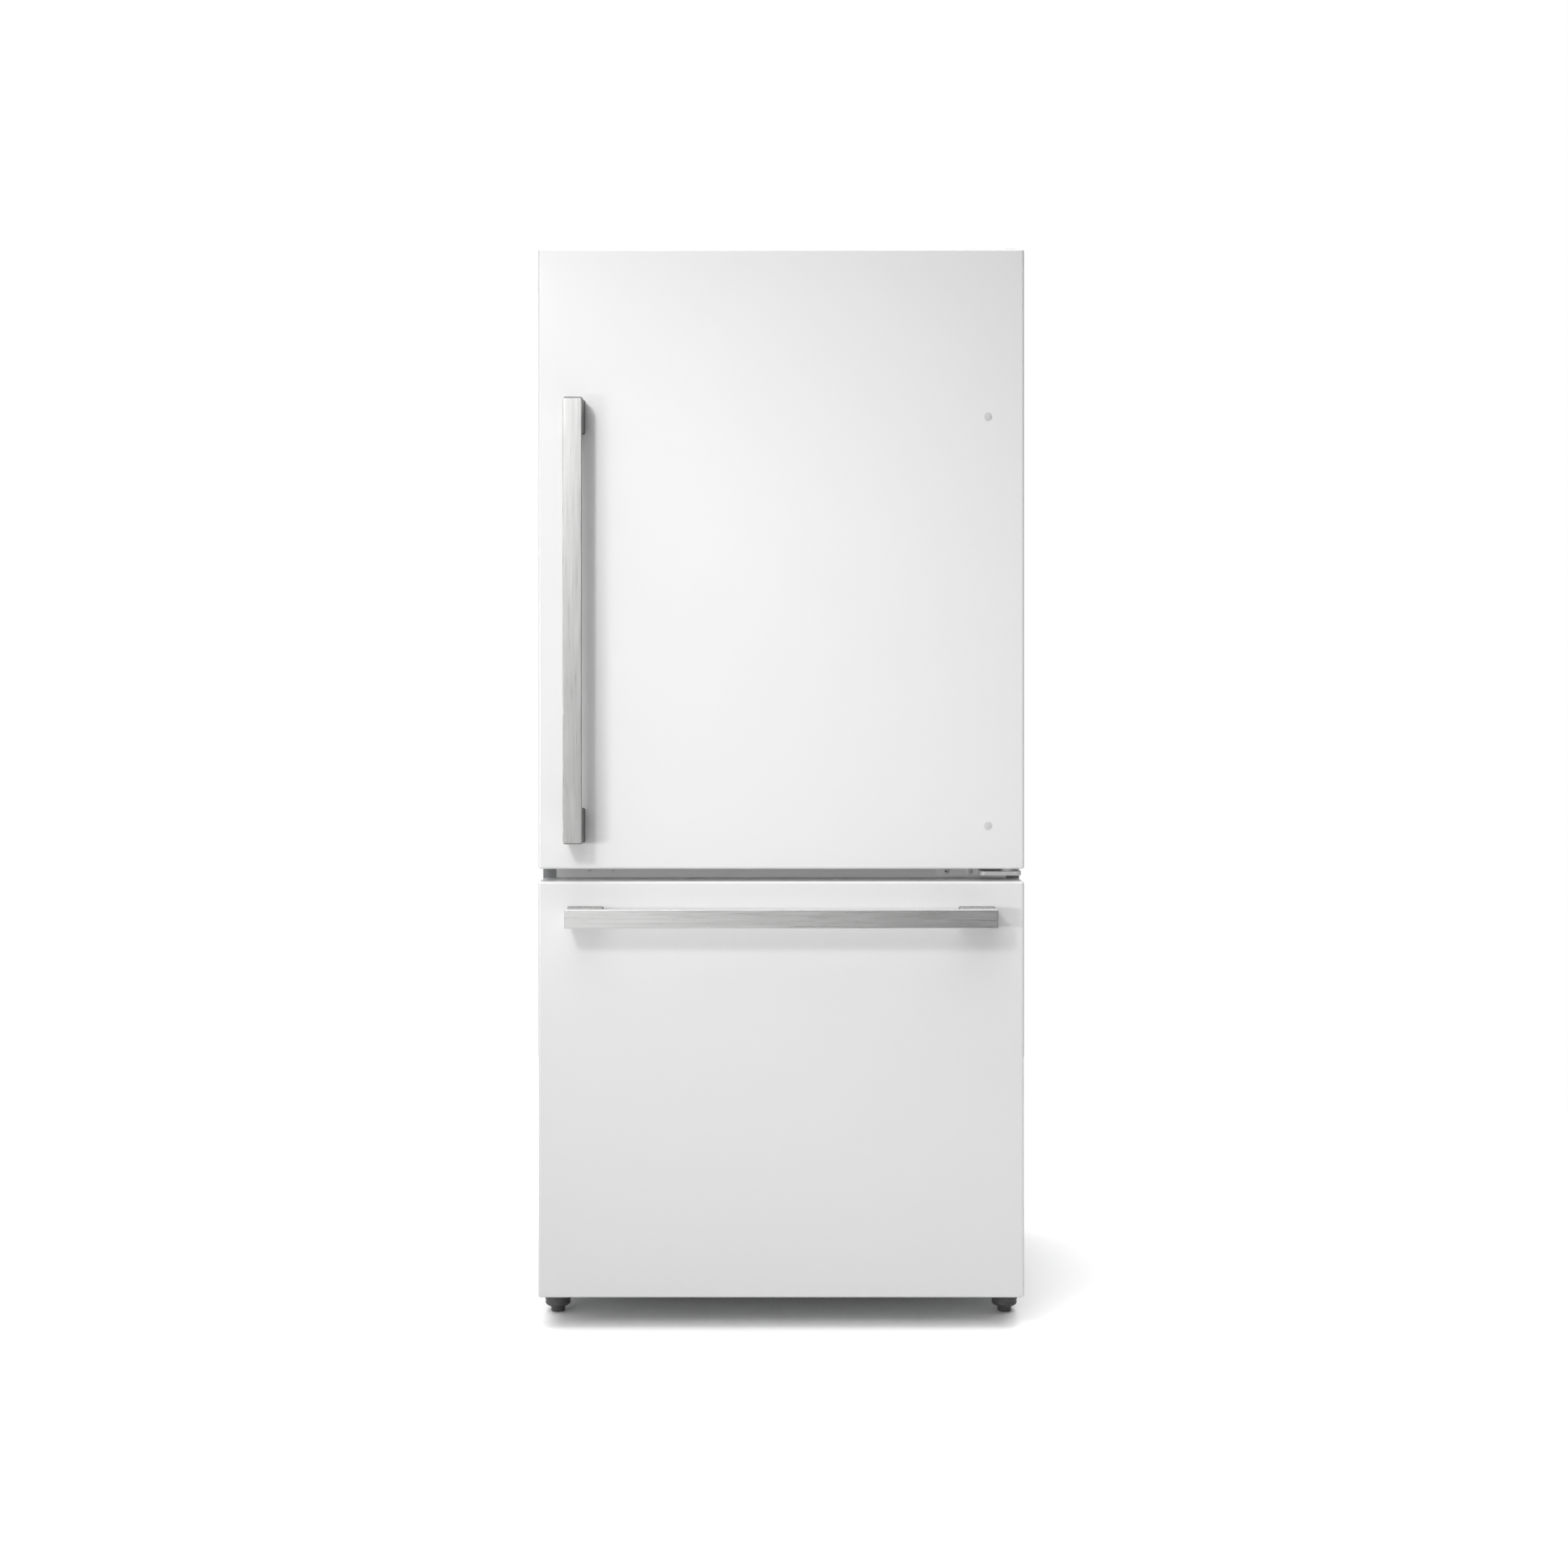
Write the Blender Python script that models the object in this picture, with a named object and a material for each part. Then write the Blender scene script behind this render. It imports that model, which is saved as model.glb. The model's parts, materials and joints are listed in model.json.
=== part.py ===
"""Bottom-freezer refrigerator: one hinged fridge door over one pull-out freezer drawer.

Metres, +Z up. The front faces -Y, and +X is on the right seen from the front. The origin is on the
floor, under the middle of the whole object. Every object is one physical piece, named as a person
would name it. Pieces that move together hang on one empty, which stands on their joint's axis.
"""
import math

import bmesh
import bpy
from mathutils import Matrix, Vector

# ---------------------------------------------------------------- driving dimensions
GAP = 0.0003            # clearance between pieces that touch or fit into each other
SHEET = 0.0012          # steel sheet of the cabinet
PLASTIC = 0.0015        # wall of the moulded liners

SIDE_X = 0.395          # outer face of a cabinet side
FRONT_Y = -0.230        # front face of the cabinet's flanges
BACK_Y = 0.3682         # rear edge of the cabinet's sides
REAR_Y = 0.370          # outer face of the machine cover, the rearmost face
BOTTOM_Z = 0.040
TOP_Z = 1.750
FLANGE = 0.022          # width of the folded front edge of the cabinet
LINER_FLANGE_X = SIDE_X - FLANGE - GAP

FRIDGE_X = 0.350        # half width of the fridge compartment
FRIDGE_BACK_Y = 0.320
FRIDGE_Z = (0.772, 1.678)
FREEZER_X = 0.335       # half width of the freezer compartment
FREEZER_BACK_Y = 0.310
FREEZER_Z = (0.110, 0.702)
HUMP_Y = 0.140          # the machine compartment takes the freezer's lower rear corner
HUMP_Z = 0.285
MACHINE_Y = 0.180
MACHINE_Z = 0.245

DOOR_X = 0.394
DOOR_FRONT_Y = -0.313
DOOR_BACK_Y = -0.245    # rear edge of the door's steel skin
DOOR_SHEET = 0.001
DOOR_EDGE_R = 0.004
DOOR_Z = (0.7473, 1.7526)
DRAWER_Z = (0.052, 0.727)
LINER_BACK_Y = -0.243   # flat rear face of the door and drawer liners
GASKET_X = 0.371
HINGE = (0.372, -0.270)
PIN_R = 0.005

HANDLE_Y = -0.370       # front face of the handle bars
BAR_DEPTH = 0.010
BAR_WIDTH = 0.030
POST_LENGTH = 0.060
DOOR_BAR_X = (-0.3485, -0.3185)
DOOR_BAR_Z = (0.7905, 1.507)
DRAWER_BAR_X = 0.346
DRAWER_BAR_Z = (0.657, 0.687)

CRISPER_COVER_Z = 0.987
SHELF_Z = (1.215, 1.440)
LEDGE_X = (0.341, 0.3505)
LEDGE_Y = (-0.105, 0.300)
LEDGE_HEIGHT = 0.0125
BIN_X = (-0.302, 0.302)
BIN_REAR_Y = -0.2425
BIN_WALL = 0.0025
CRISPER_Z = (0.777, 0.982)
CRISPER_Y = (-0.108, 0.262)
SLIDER_X = 0.175
BASKET_Z = (0.125, 0.477)
TRAY_Z = (0.492, 0.569)
RAIL_Z = 0.460
FOOT = (0.373, -0.202)
ROLLER = (0.362, 0.310)
ROLLER_R = 0.020
FAN_X = 0.040           # middle plane of the condenser fan
CONDENSER_FAN = (FAN_X, 0.275, 0.142)
EVAPORATOR_FAN = (0.0, 0.247, 0.600)
BLADE = 0.0008          # half thickness of a fan blade
DAIRY_PIVOT = (0.0, -0.238, 1.5275)


# ---------------------------------------------------------------- modelling tools
def clear_scene():
    for obj in list(bpy.data.objects):
        bpy.data.objects.remove(obj, do_unlink=True)


def material(name, colour, roughness, metallic=0.0):
    mat = bpy.data.materials.new(name)
    mat.use_nodes = True
    shader = mat.node_tree.nodes["Principled BSDF"]
    shader.inputs["Base Color"].default_value = (*colour, 1.0)
    shader.inputs["Roughness"].default_value = roughness
    shader.inputs["Metallic"].default_value = metallic
    mat.diffuse_color = (*colour, 1.0)
    return mat


def block(x, y, z, radius=0.0, segments=2, chosen=None):
    """Box between the pairs x, y and z; the chosen edges, or all of them, are rounded."""
    bm = bmesh.new()
    bmesh.ops.create_cube(bm, size=1.0)
    for vert in bm.verts:
        vert.co = Vector((x[vert.co.x > 0], y[vert.co.y > 0], z[vert.co.z > 0]))
    if radius:
        edges = [edge for edge in bm.edges if chosen is None or chosen(edge)]
        bmesh.ops.bevel(bm, geom=edges, offset=radius, segments=segments, profile=0.5, affect="EDGES")
    return bm


def along(axis):
    """Chooser for the edges of a block that run along one axis, 0, 1 or 2."""
    def test(edge):
        run = edge.verts[1].co - edge.verts[0].co
        return abs(run[axis]) > 0.9 * run.length
    return test


def on_face(axis, value):
    """Chooser for the edges of a block that border its face at the given coordinate."""
    def test(edge):
        return all(abs(vert.co[axis] - value) < 1e-6 for vert in edge.verts)
    return test


AXIS_TURN = {
    "x": Matrix(((0, 0, 1), (1, 0, 0), (0, 1, 0))),
    "y": Matrix(((0, 1, 0), (0, 0, 1), (1, 0, 0))),
    "z": Matrix.Identity(3),
}


def turned(profile, centre, axis="z", sides=24):
    """Solid of revolution; the profile is a list of (radius, height), from low to high."""
    bm = bmesh.new()
    turn = AXIS_TURN[axis]
    rings = []
    for radius, height in profile:
        if radius == 0.0:
            ring = [bm.verts.new(turn @ Vector((0, 0, height)) + Vector(centre))]
        else:
            angles = [2 * math.pi * i / sides for i in range(sides)]
            spots = [Vector((radius * math.cos(a), radius * math.sin(a), height)) for a in angles]
            ring = [bm.verts.new(turn @ spot + Vector(centre)) for spot in spots]
        rings.append(ring)
    for low, high in zip(rings, rings[1:]):
        for i in range(sides):
            j = (i + 1) % sides
            corners = [low[i % len(low)], low[j % len(low)], high[j % len(high)], high[i % len(high)]]
            bm.faces.new(list(dict.fromkeys(corners)))
    for ring in (rings[0], rings[-1]):
        if len(ring) > 1:
            bm.faces.new(ring)
    bmesh.ops.recalc_face_normals(bm, faces=bm.faces)
    return bm


def rod(centre, radius, span, axis="z", sides=24):
    """Plain cylinder from span[0] to span[1] along its axis, measured from the centre."""
    return turned([(radius, span[0]), (radius, span[1])], centre, axis, sides)


def extrusion(outline, x):
    """Prism along X with an outline of (y, z) points."""
    bm = bmesh.new()
    low = [bm.verts.new((x[0], y, z)) for y, z in outline]
    high = [bm.verts.new((x[1], y, z)) for y, z in outline]
    bm.faces.new(low)
    bm.faces.new(high)
    count = len(outline)
    for i in range(count):
        j = (i + 1) % count
        bm.faces.new((low[i], low[j], high[j], high[i]))
    bmesh.ops.recalc_face_normals(bm, faces=bm.faces)
    return bm


def mesh_object(name, bm):
    mesh = bpy.data.meshes.new(name)
    bm.to_mesh(mesh)
    bm.free()
    obj = bpy.data.objects.new(name, mesh)
    bpy.context.scene.collection.objects.link(obj)
    return obj


def combine(obj, tool, operation):
    """Apply one exact Boolean of a tool solid to the object, and drop the tool."""
    modifier = obj.modifiers.new(operation.lower(), "BOOLEAN")
    modifier.operation = operation
    modifier.solver = "EXACT"
    modifier.object = tool
    graph = bpy.context.evaluated_depsgraph_get()
    result = bpy.data.meshes.new_from_object(obj.evaluated_get(graph))
    obj.modifiers.clear()
    old = obj.data
    obj.data = result
    bpy.data.meshes.remove(old)
    bpy.data.objects.remove(tool, do_unlink=True)


def solid(name, mat, add, cut=(), then=(), pivot=None, smooth=40.0):
    """One named piece: the union of add, less every solid in cut, plus every solid in then."""
    obj = mesh_object(name, add[0])
    for bm in add[1:]:
        combine(obj, mesh_object("tool", bm), "UNION")
    for bm in cut:
        combine(obj, mesh_object("tool", bm), "DIFFERENCE")
    for bm in then:
        combine(obj, mesh_object("tool", bm), "UNION")
    obj.data.name = name
    obj.data.materials.clear()
    obj.data.materials.append(mat)
    obj.data.shade_smooth()
    obj.data.set_sharp_from_angle(angle=math.radians(smooth))
    if pivot is not None:
        obj.data.transform(Matrix.Translation(-pivot.location))
        obj.parent = pivot
    return obj


def empty(name, location):
    """Empty on a joint's axis, which carries the pieces of one moving body."""
    pivot = bpy.data.objects.new(name, None)
    pivot.location = location
    bpy.context.scene.collection.objects.link(pivot)
    return pivot


def both(pair, side):
    """Mirror a pair of X values to the left side (-1) or keep it on the right (+1)."""
    return tuple(sorted(side * value for value in pair))


def grow(pair, amount):
    return (pair[0] - amount, pair[1] + amount)


# ---------------------------------------------------------------- cabinet
def freezer_outline(out, front_y):
    """Side outline of the freezer compartment, with every wall moved out by the given amount."""
    low, high = FREEZER_Z
    return [(front_y, low - out), (HUMP_Y + out, low - out), (HUMP_Y + out, HUMP_Z - out),
            (FREEZER_BACK_Y + out, HUMP_Z - out), (FREEZER_BACK_Y + out, high + out),
            (front_y, high + out)]


def cabinet_shell(mat):
    inner_x = SIDE_X - SHEET
    opening_x = SIDE_X - FLANGE

    def outer_edges(edge):
        verts = edge.verts
        if all(vert.co.z < BOTTOM_Z + 1e-6 for vert in verts):
            return False
        return not all(vert.co.y > BACK_Y - 1e-6 for vert in verts)

    wrap = block((-SIDE_X, SIDE_X), (FRONT_Y, BACK_Y), (BOTTOM_Z, TOP_Z), 0.001, 2, outer_edges)
    hollow = block((-inner_x, inner_x), (FRONT_Y + SHEET, 0.5), (-0.1, TOP_Z - SHEET))
    opening = block((-opening_x, opening_x), (-0.4, 0.0), (-0.1, TOP_Z - FLANGE))
    solid("cabinet_shell", mat, [wrap], [hollow, opening])


def insulation_foam(mat):
    side = SIDE_X - SHEET - GAP
    out = PLASTIC + GAP
    depth = (FRONT_Y + PLASTIC + GAP, BACK_Y)
    core = block((-side, side), depth, (BOTTOM_Z + SHEET + GAP, TOP_Z - SHEET - GAP))
    fridge_x = FRIDGE_X + out
    freezer_x = FREEZER_X + out
    cuts = [
        block((-fridge_x, fridge_x), (-0.4, FRIDGE_BACK_Y + out), grow(FRIDGE_Z, out)),
        extrusion(freezer_outline(out, -0.4), (-freezer_x, freezer_x)),
        block((-0.5, 0.5), (MACHINE_Y, 0.5), (-0.1, MACHINE_Z)),
    ]
    for side_sign in (-1, 1):
        cuts.append(rod((side_sign * FOOT[0], FOOT[1], 0.0), 0.008, (0.0, 0.054)))
    solid("insulation_foam", mat, [core], cuts)


def fridge_liner(mat):
    out_x = FRIDGE_X + PLASTIC
    tub = block((-out_x, out_x), (FRONT_Y, FRIDGE_BACK_Y + PLASTIC), grow(FRIDGE_Z, PLASTIC))
    flange = block((-LINER_FLANGE_X, LINER_FLANGE_X), (FRONT_Y, FRONT_Y + PLASTIC),
                   (FRIDGE_Z[0] - PLASTIC, TOP_Z - FLANGE - GAP))
    cavity = block((-FRIDGE_X, FRIDGE_X), (-0.4, FRIDGE_BACK_Y), FRIDGE_Z, 0.016, 3)
    ledges = []
    for level in (CRISPER_COVER_Z, *SHELF_Z):
        z = (level - LEDGE_HEIGHT, level - GAP)
        for side in (-1, 1):
            ledges.append(block(both(LEDGE_X, side), LEDGE_Y, z))
    solid("fridge_liner", mat, [tub, flange], [cavity], ledges)


def freezer_liner(mat):
    out_x = FREEZER_X + PLASTIC
    tub = extrusion(freezer_outline(PLASTIC, FRONT_Y), (-out_x, out_x))
    flange = block((-LINER_FLANGE_X, LINER_FLANGE_X), (FRONT_Y, FRONT_Y + PLASTIC),
                   (0.062, FREEZER_Z[1] + PLASTIC))
    cavity = extrusion(freezer_outline(0.0, -0.4), (-FREEZER_X, FREEZER_X))
    ledges = [block(both((0.318, 0.3355), side), (-0.222, 0.205), (0.557, 0.5657)) for side in (-1, 1)]
    solid("freezer_liner", mat, [tub, flange], [cavity], ledges)


def mullion_rail(mat):
    z = (FREEZER_Z[1] + PLASTIC + GAP, FRIDGE_Z[0] - PLASTIC - GAP)
    solid("mullion_rail", mat, [block((-LINER_FLANGE_X, LINER_FLANGE_X), (FRONT_Y, FRONT_Y + PLASTIC), z)])


def base_plate(mat):
    """Bent steel floor: a front lip, the flat bottom, the machine wall and the machine ceiling."""
    low = BOTTOM_Z
    front = FRONT_Y + SHEET + GAP
    wall = MACHINE_Y + GAP
    ceiling = MACHINE_Z - GAP
    outline = [(front, low), (wall + SHEET, low), (wall + SHEET, ceiling - SHEET),
               (BACK_Y, ceiling - SHEET), (BACK_Y, ceiling), (wall, ceiling),
               (wall, low + SHEET), (front, low + SHEET)]
    side = SIDE_X - SHEET - GAP
    lip = block((-LINER_FLANGE_X, LINER_FLANGE_X), (FRONT_Y + GAP, front + GAP / 3), (low, 0.0617))
    holes = [rod((sign * FOOT[0], FOOT[1], 0.0), 0.007, (0.02, 0.05)) for sign in (-1, 1)]
    solid("base_plate", mat, [extrusion(outline, (-side, side)), lip], holes)


def back_panel(mat):
    """Rear sheet with pressed stiffening ribs."""
    low = BACK_Y + GAP
    plate = block((-0.3945, 0.3945), (low, low + 0.0008), (MACHINE_Z + 0.003, TOP_Z - 0.001))
    ribs = []
    for x in (-0.24, -0.08, 0.08, 0.24):
        ribs.append(block((x - 0.012, x + 0.012), (low + 0.0004, REAR_Y - 0.0002), (0.36, 1.64), 0.0004, 1))
    solid("back_panel", mat, [plate, *ribs])


def machine_cover(mat):
    plate = block((-0.385, 0.385), (BACK_Y + GAP, REAR_Y), (0.0445, MACHINE_Z + 0.0005))
    cuts = []
    for row in (0.095, 0.150):
        for step in range(14):
            x = -0.330 + step * 0.042
            cuts.append(block((x, x + 0.026), (0.3, 0.4), (row, row + 0.030)))
    cuts.append(rod((0.345, 0.0, 0.195), 0.0085, (0.35, 0.39), "y"))
    solid("machine_cover", mat, [plate], cuts)


def power_cord_gland(mat):
    """Rubber grommet in the machine cover, where the mains lead comes out."""
    ring = turned([(0.0082, 0.355), (0.0082, REAR_Y - GAP)], (0.345, 0.0, 0.195), "y", 20)
    collar = rod((0.345, 0.0, 0.195), 0.0125, (0.362, BACK_Y), "y", 20)
    hole = rod((0.345, 0.0, 0.195), 0.0042, (0.34, 0.39), "y", 16)
    solid("power_cord_gland", mat, [ring, collar], [hole])


# ---------------------------------------------------------------- hinges
def top_hinge(mat):
    seat = block((0.322, 0.390), (-0.227, -0.140), (TOP_Z + GAP, 1.7572))
    arm = block((0.354, 0.390), (-0.289, -0.220), (1.7532, 1.7572), 0.012, 4, along(2))
    pin = rod((*HINGE, 0.0), PIN_R, (1.735, 1.755))
    solid("top_hinge", mat, [seat, arm, pin])


def top_hinge_cover(mat):
    outline = [(-0.262, 1.7577), (-0.262, 1.7605), (-0.215, 1.7720), (-0.106, 1.7720),
               (-0.100, 1.7660), (-0.100, TOP_Z + GAP), (-0.2275, TOP_Z + GAP), (-0.2275, 1.7577)]
    body = extrusion(outline, (0.304, 0.3935))
    hollow = block((0.306, 0.3915), (-0.2255, -0.102), (1.70, 1.7695))
    arm_way = block((0.353, 0.3912), (-0.30, -0.210), (1.70, 1.7576))
    seat_way = block((0.321, 0.3912), (-0.2279, -0.200), (1.70, 1.7576))
    solid("top_hinge_cover", mat, [body], [hollow, arm_way, seat_way])


def middle_hinge(mat):
    y = (-0.2335, FRONT_Y - GAP)
    plate = block((0.257, 0.340), y, (0.7292, 0.7465), 0.005, 3, along(1))
    arm = block((0.3255, 0.3925), (-0.286, y[1]), (0.7345, 0.741), 0.008, 3, along(2))
    collar = rod((*HINGE, 0.0), 0.009, (0.740, 0.7469))
    pin = rod((*HINGE, 0.0), PIN_R, (0.740, 0.762))
    solid("middle_hinge", mat, [plate, arm, collar, pin])


# ---------------------------------------------------------------- machine compartment
def compressor_base(mat):
    """Rear floor tray with the axles of the two rear rollers."""
    tray = block((-0.385, 0.385), (0.184, 0.366), (BOTTOM_Z, BOTTOM_Z + 0.0015))
    parts = [tray]
    for sign in (-1, 1):
        for offset in (-0.0115, 0.0115):
            x = sign * ROLLER[0] + offset
            parts.append(block((x - 0.001, x + 0.001), (0.290, 0.330), (0.011, BOTTOM_Z + 0.001)))
        parts.append(rod((sign * ROLLER[0], ROLLER[1], ROLLER_R), 0.004, (-0.013, 0.013), "x", 12))
    solid("compressor_base", mat, parts)


def compressor(mat):
    centre = (-0.200, 0.275, 0.0)
    can = turned([(0.0, 0.052), (0.050, 0.054), (0.070, 0.068), (0.075, 0.090), (0.075, 0.135),
                  (0.078, 0.137), (0.078, 0.143), (0.075, 0.145), (0.073, 0.180), (0.060, 0.206),
                  (0.030, 0.216), (0.0, 0.218)], centre, "z", 28)
    plate = block((-0.290, -0.110), (0.215, 0.335), (0.0500, 0.0535))
    parts = [can, plate]
    for x in (-0.276, -0.124):
        for y in (0.228, 0.322):
            parts.append(rod((x, y, 0.0), 0.009, (BOTTOM_Z + 0.0018, 0.051), "z", 12))
    box = block((-0.262, -0.138), (0.330, 0.362), (0.095, 0.165), 0.006, 2)
    solid("compressor", mat, [*parts, box])


def serpentine(name, mat, points, radius):
    """Bent tube along a list of points, with filled ends."""
    curve = bpy.data.curves.new(name, "CURVE")
    curve.dimensions = "3D"
    curve.bevel_depth = radius
    curve.bevel_resolution = 1
    curve.use_fill_caps = True
    spline = curve.splines.new("POLY")
    spline.points.add(len(points) - 1)
    for point, spot in zip(spline.points, points):
        point.co = (*spot, 1.0)
    curve.materials.append(mat)
    obj = bpy.data.objects.new(name, curve)
    bpy.context.scene.collection.objects.link(obj)


def condenser_coil(mat):
    """One tube that runs to and fro in three upright columns of eight runs each."""
    points = []
    low_y, high_y, bend = 0.214, 0.336, 0.011
    columns, first_x, spacing = 3, 0.130, 0.075
    runs = 8
    steps = 4
    for column in range(columns):
        x = first_x + column * spacing
        order = range(runs) if column % 2 == 0 else range(runs - 1, -1, -1)
        for index, run in enumerate(order):
            z = 0.064 + run * 2 * bend
            forward = (index + column * runs) % 2 == 0
            ends = (low_y, high_y) if forward else (high_y, low_y)
            points.append((x, ends[0], z))
            points.append((x, ends[1], z))
            if index == runs - 1:
                continue
            rise = bend if column % 2 == 0 else -bend
            outward = 1 if forward else -1
            for step in range(1, steps):
                angle = math.pi * step / steps
                y = ends[1] + outward * bend * math.sin(angle)
                points.append((x, y, z + rise * (1 - math.cos(angle))))
    serpentine("condenser_coil", mat, points, 0.0035)


def fan_wheel(centre, axis, radius, hub, depth, blades, mat, name, bore, pivot):
    """Axial fan: a hub with a bore, and flat blades that widen outwards, all at one pitch."""
    turn = AXIS_TURN[axis]
    tilt = math.asin(depth / radius)
    wheel = [turned([(hub, -depth / 2), (hub, depth * 0.4), (hub * 0.8, depth / 2)], centre, axis, 20)]
    for index in range(blades):
        bm = bmesh.new()
        around = Matrix.Rotation(2 * math.pi * index / blades, 3, "Z")
        sections = []
        for distance, share in ((hub * 0.8, 0.22), (radius * 0.62, 0.31), (radius, 0.40)):
            chord = share * radius
            ring = []
            for across, thick in ((-1, -1), (1, -1), (1, 1), (-1, 1)):
                u = across * chord * math.cos(tilt) - thick * BLADE * math.sin(tilt)
                w = across * chord * math.sin(tilt) + thick * BLADE * math.cos(tilt)
                ring.append(bm.verts.new(turn @ (around @ Vector((distance, u, w))) + Vector(centre)))
            sections.append(ring)
        for low, high in zip(sections, sections[1:]):
            for i in range(4):
                j = (i + 1) % 4
                bm.faces.new((low[i], low[j], high[j], high[i]))
        bm.faces.new(sections[0])
        bm.faces.new(sections[-1])
        bmesh.ops.recalc_face_normals(bm, faces=bm.faces)
        wheel.append(bm)
    hole = rod(centre, bore, (-depth, depth), axis, 16)
    solid(name, mat, wheel, [hole], pivot=pivot)


def spokes(centre, axis, inner, outer, half_width, span, count):
    """Straight struts from a hub to a ring, in a plane across the axis."""
    turn = AXIS_TURN[axis]
    bars = []
    for index in range(count):
        bm = block((inner, outer), (-half_width, half_width), span)
        around = Matrix.Rotation(2 * math.pi * (index + 0.5) / count, 3, "Z")
        for vert in bm.verts:
            vert.co = turn @ (around @ vert.co) + Vector(centre)
        bmesh.ops.recalc_face_normals(bm, faces=bm.faces)
        bars.append(bm)
    return bars


def condenser_fan_shroud(mat):
    x, y, z = CONDENSER_FAN
    frame = block((x - 0.020, x + 0.016), (0.197, 0.353), (0.0475, 0.2375), 0.006, 2, along(0))
    throat = rod(CONDENSER_FAN, 0.069, (-0.05, 0.05), "x", 32)
    struts = spokes(CONDENSER_FAN, "x", 0.012, 0.074, 0.004, (-0.0195, -0.0145), 4)
    motor = rod(CONDENSER_FAN, 0.021, (-0.030, -0.0142), "x", 20)
    shaft = rod(CONDENSER_FAN, 0.003, (-0.016, 0.012), "x", 12)
    solid("condenser_fan_shroud", mat, [frame], [throat], [motor, *struts, shaft])


# ---------------------------------------------------------------- cold side
def evaporator(mat):
    """Fin pack drawn as one comb, with a back strip that carries the fins."""
    bm = bmesh.new()
    fins, pitch, fin = 26, 0.020, 0.003
    back_y, root_y, tip_y = 0.300, 0.292, 0.240
    start = -0.5 * (fins - 1) * pitch
    outline = [(start - fin / 2, back_y)]
    for index in range(fins):
        x = start + index * pitch
        if index:
            outline.append((x - fin / 2, root_y))
        outline.append((x - fin / 2, tip_y))
        outline.append((x + fin / 2, tip_y))
        if index < fins - 1:
            outline.append((x + fin / 2, root_y))
    outline.append((-start + fin / 2, back_y))
    low = [bm.verts.new((x, y, 0.305)) for x, y in outline]
    high = [bm.verts.new((x, y, 0.500)) for x, y in outline]
    bm.faces.new(low)
    bm.faces.new(high)
    for i in range(len(outline)):
        j = (i + 1) % len(outline)
        bm.faces.new((low[i], low[j], high[j], high[i]))
    bmesh.ops.recalc_face_normals(bm, faces=bm.faces)
    solid("evaporator", mat, [bm])


def evaporator_cover(mat):
    """Freezer rear panel with a fan grille, a return slot, and the fan's motor and shaft."""
    plate = block((-0.3345, 0.3345), (0.225, 0.228), (0.2865, 0.7005))
    through = (0.2, 0.25)
    grille_centre = (EVAPORATOR_FAN[0], 0.0, EVAPORATOR_FAN[2])
    throat = rod(grille_centre, 0.060, through, "y", 32)
    slots = []
    for x in (-0.28, -0.20, -0.12, 0.07, 0.15, 0.23):
        slots.append(block((x, x + 0.05), through, (0.300, 0.312)))
    hub = rod(grille_centre, 0.020, (0.225, 0.234), "y", 20)
    struts = spokes(grille_centre, "y", 0.012, 0.064, 0.002, (0.2252, 0.2278), 8)
    shaft = rod(grille_centre, 0.003, (0.230, 0.256), "y", 12)
    solid("evaporator_cover", mat, [plate], [throat, *slots], [hub, *struts, shaft])


def air_duct(mat):
    body = block((-0.090, 0.090), (0.297, FRIDGE_BACK_Y - GAP), (1.010, 1.640), 0.006, 2, on_face(1, 0.297))
    vents = []
    for level in (1.120, 1.330, 1.560):
        for side in (-1, 1):
            vents.append(block(both((0.030, 0.070), side), (0.28, 0.305), (level, level + 0.012)))
    solid("air_duct", mat, [body], vents)


def control_panel(mat):
    low = FRIDGE_Z[1] - 0.018
    housing = block((-0.110, 0.110), (-0.150, -0.030), (low, FRIDGE_Z[1] - GAP), 0.004, 2, on_face(2, low))
    solid("control_panel", mat, [housing])


def shelf(name, level, mat):
    """Glass plate with a moulded rim at the front and a low stop at the back."""
    plate = block((-0.3485, 0.3485), (-0.118, 0.292), (level, level + 0.004))
    rim = block((-0.3485, 0.3485), (-0.128, -0.114), (level - 0.008, level + 0.007), 0.003, 2, along(0))
    stop = block((-0.3485, 0.3485), (0.286, 0.294), (level + 0.001, level + 0.016))
    solid(name, mat, [plate, rim, stop])


def crisper_cover(mat):
    """Fixed glass cover over the crispers, with the middle partition that guides both drawers."""
    level = CRISPER_COVER_Z
    plate = block((-0.3485, 0.3485), (-0.116, 0.292), (level, level + 0.004))
    rim = block((-0.3485, 0.3485), (-0.124, -0.112), (level - 0.001, level + 0.011))
    partition = block((-0.003, 0.003), (-0.100, 0.290), (FRIDGE_Z[0] + GAP, level + 0.001))
    solid("crisper_cover", mat, [plate, rim, partition])


def tub(name, mat, x, y, z, wall, pivot, radius=0.010, rim=None, extra=()):
    """Open box with rounded corners; rim is (half extra width, height) of a flange along X."""
    body = block(x, y, z, radius, 3, lambda edge: not on_face(2, z[1])(edge))
    inner = block(grow(x, -wall), grow(y, -wall), (z[0] + wall, z[1] + 0.2), max(radius - wall, 0.001), 3)
    add = [body]
    if rim:
        add.append(block(grow(x, rim[0]), y, (z[1] - rim[1], z[1])))
    solid(name, mat, [*add, *extra], [inner], pivot=pivot)


def crisper(side, mat, pivot):
    x = both((0.0055, 0.339), side)
    name = "crisper_left" if side < 0 else "crisper_right"
    grip = block(grow(x, -0.06), (CRISPER_Y[0] - 0.006, CRISPER_Y[0] + 0.004),
                 (CRISPER_Z[1] - 0.022, CRISPER_Z[1] - 0.004), 0.002, 2)
    tub(name, mat, x, CRISPER_Y, CRISPER_Z, 0.0025, pivot, 0.012, extra=[grip])


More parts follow.
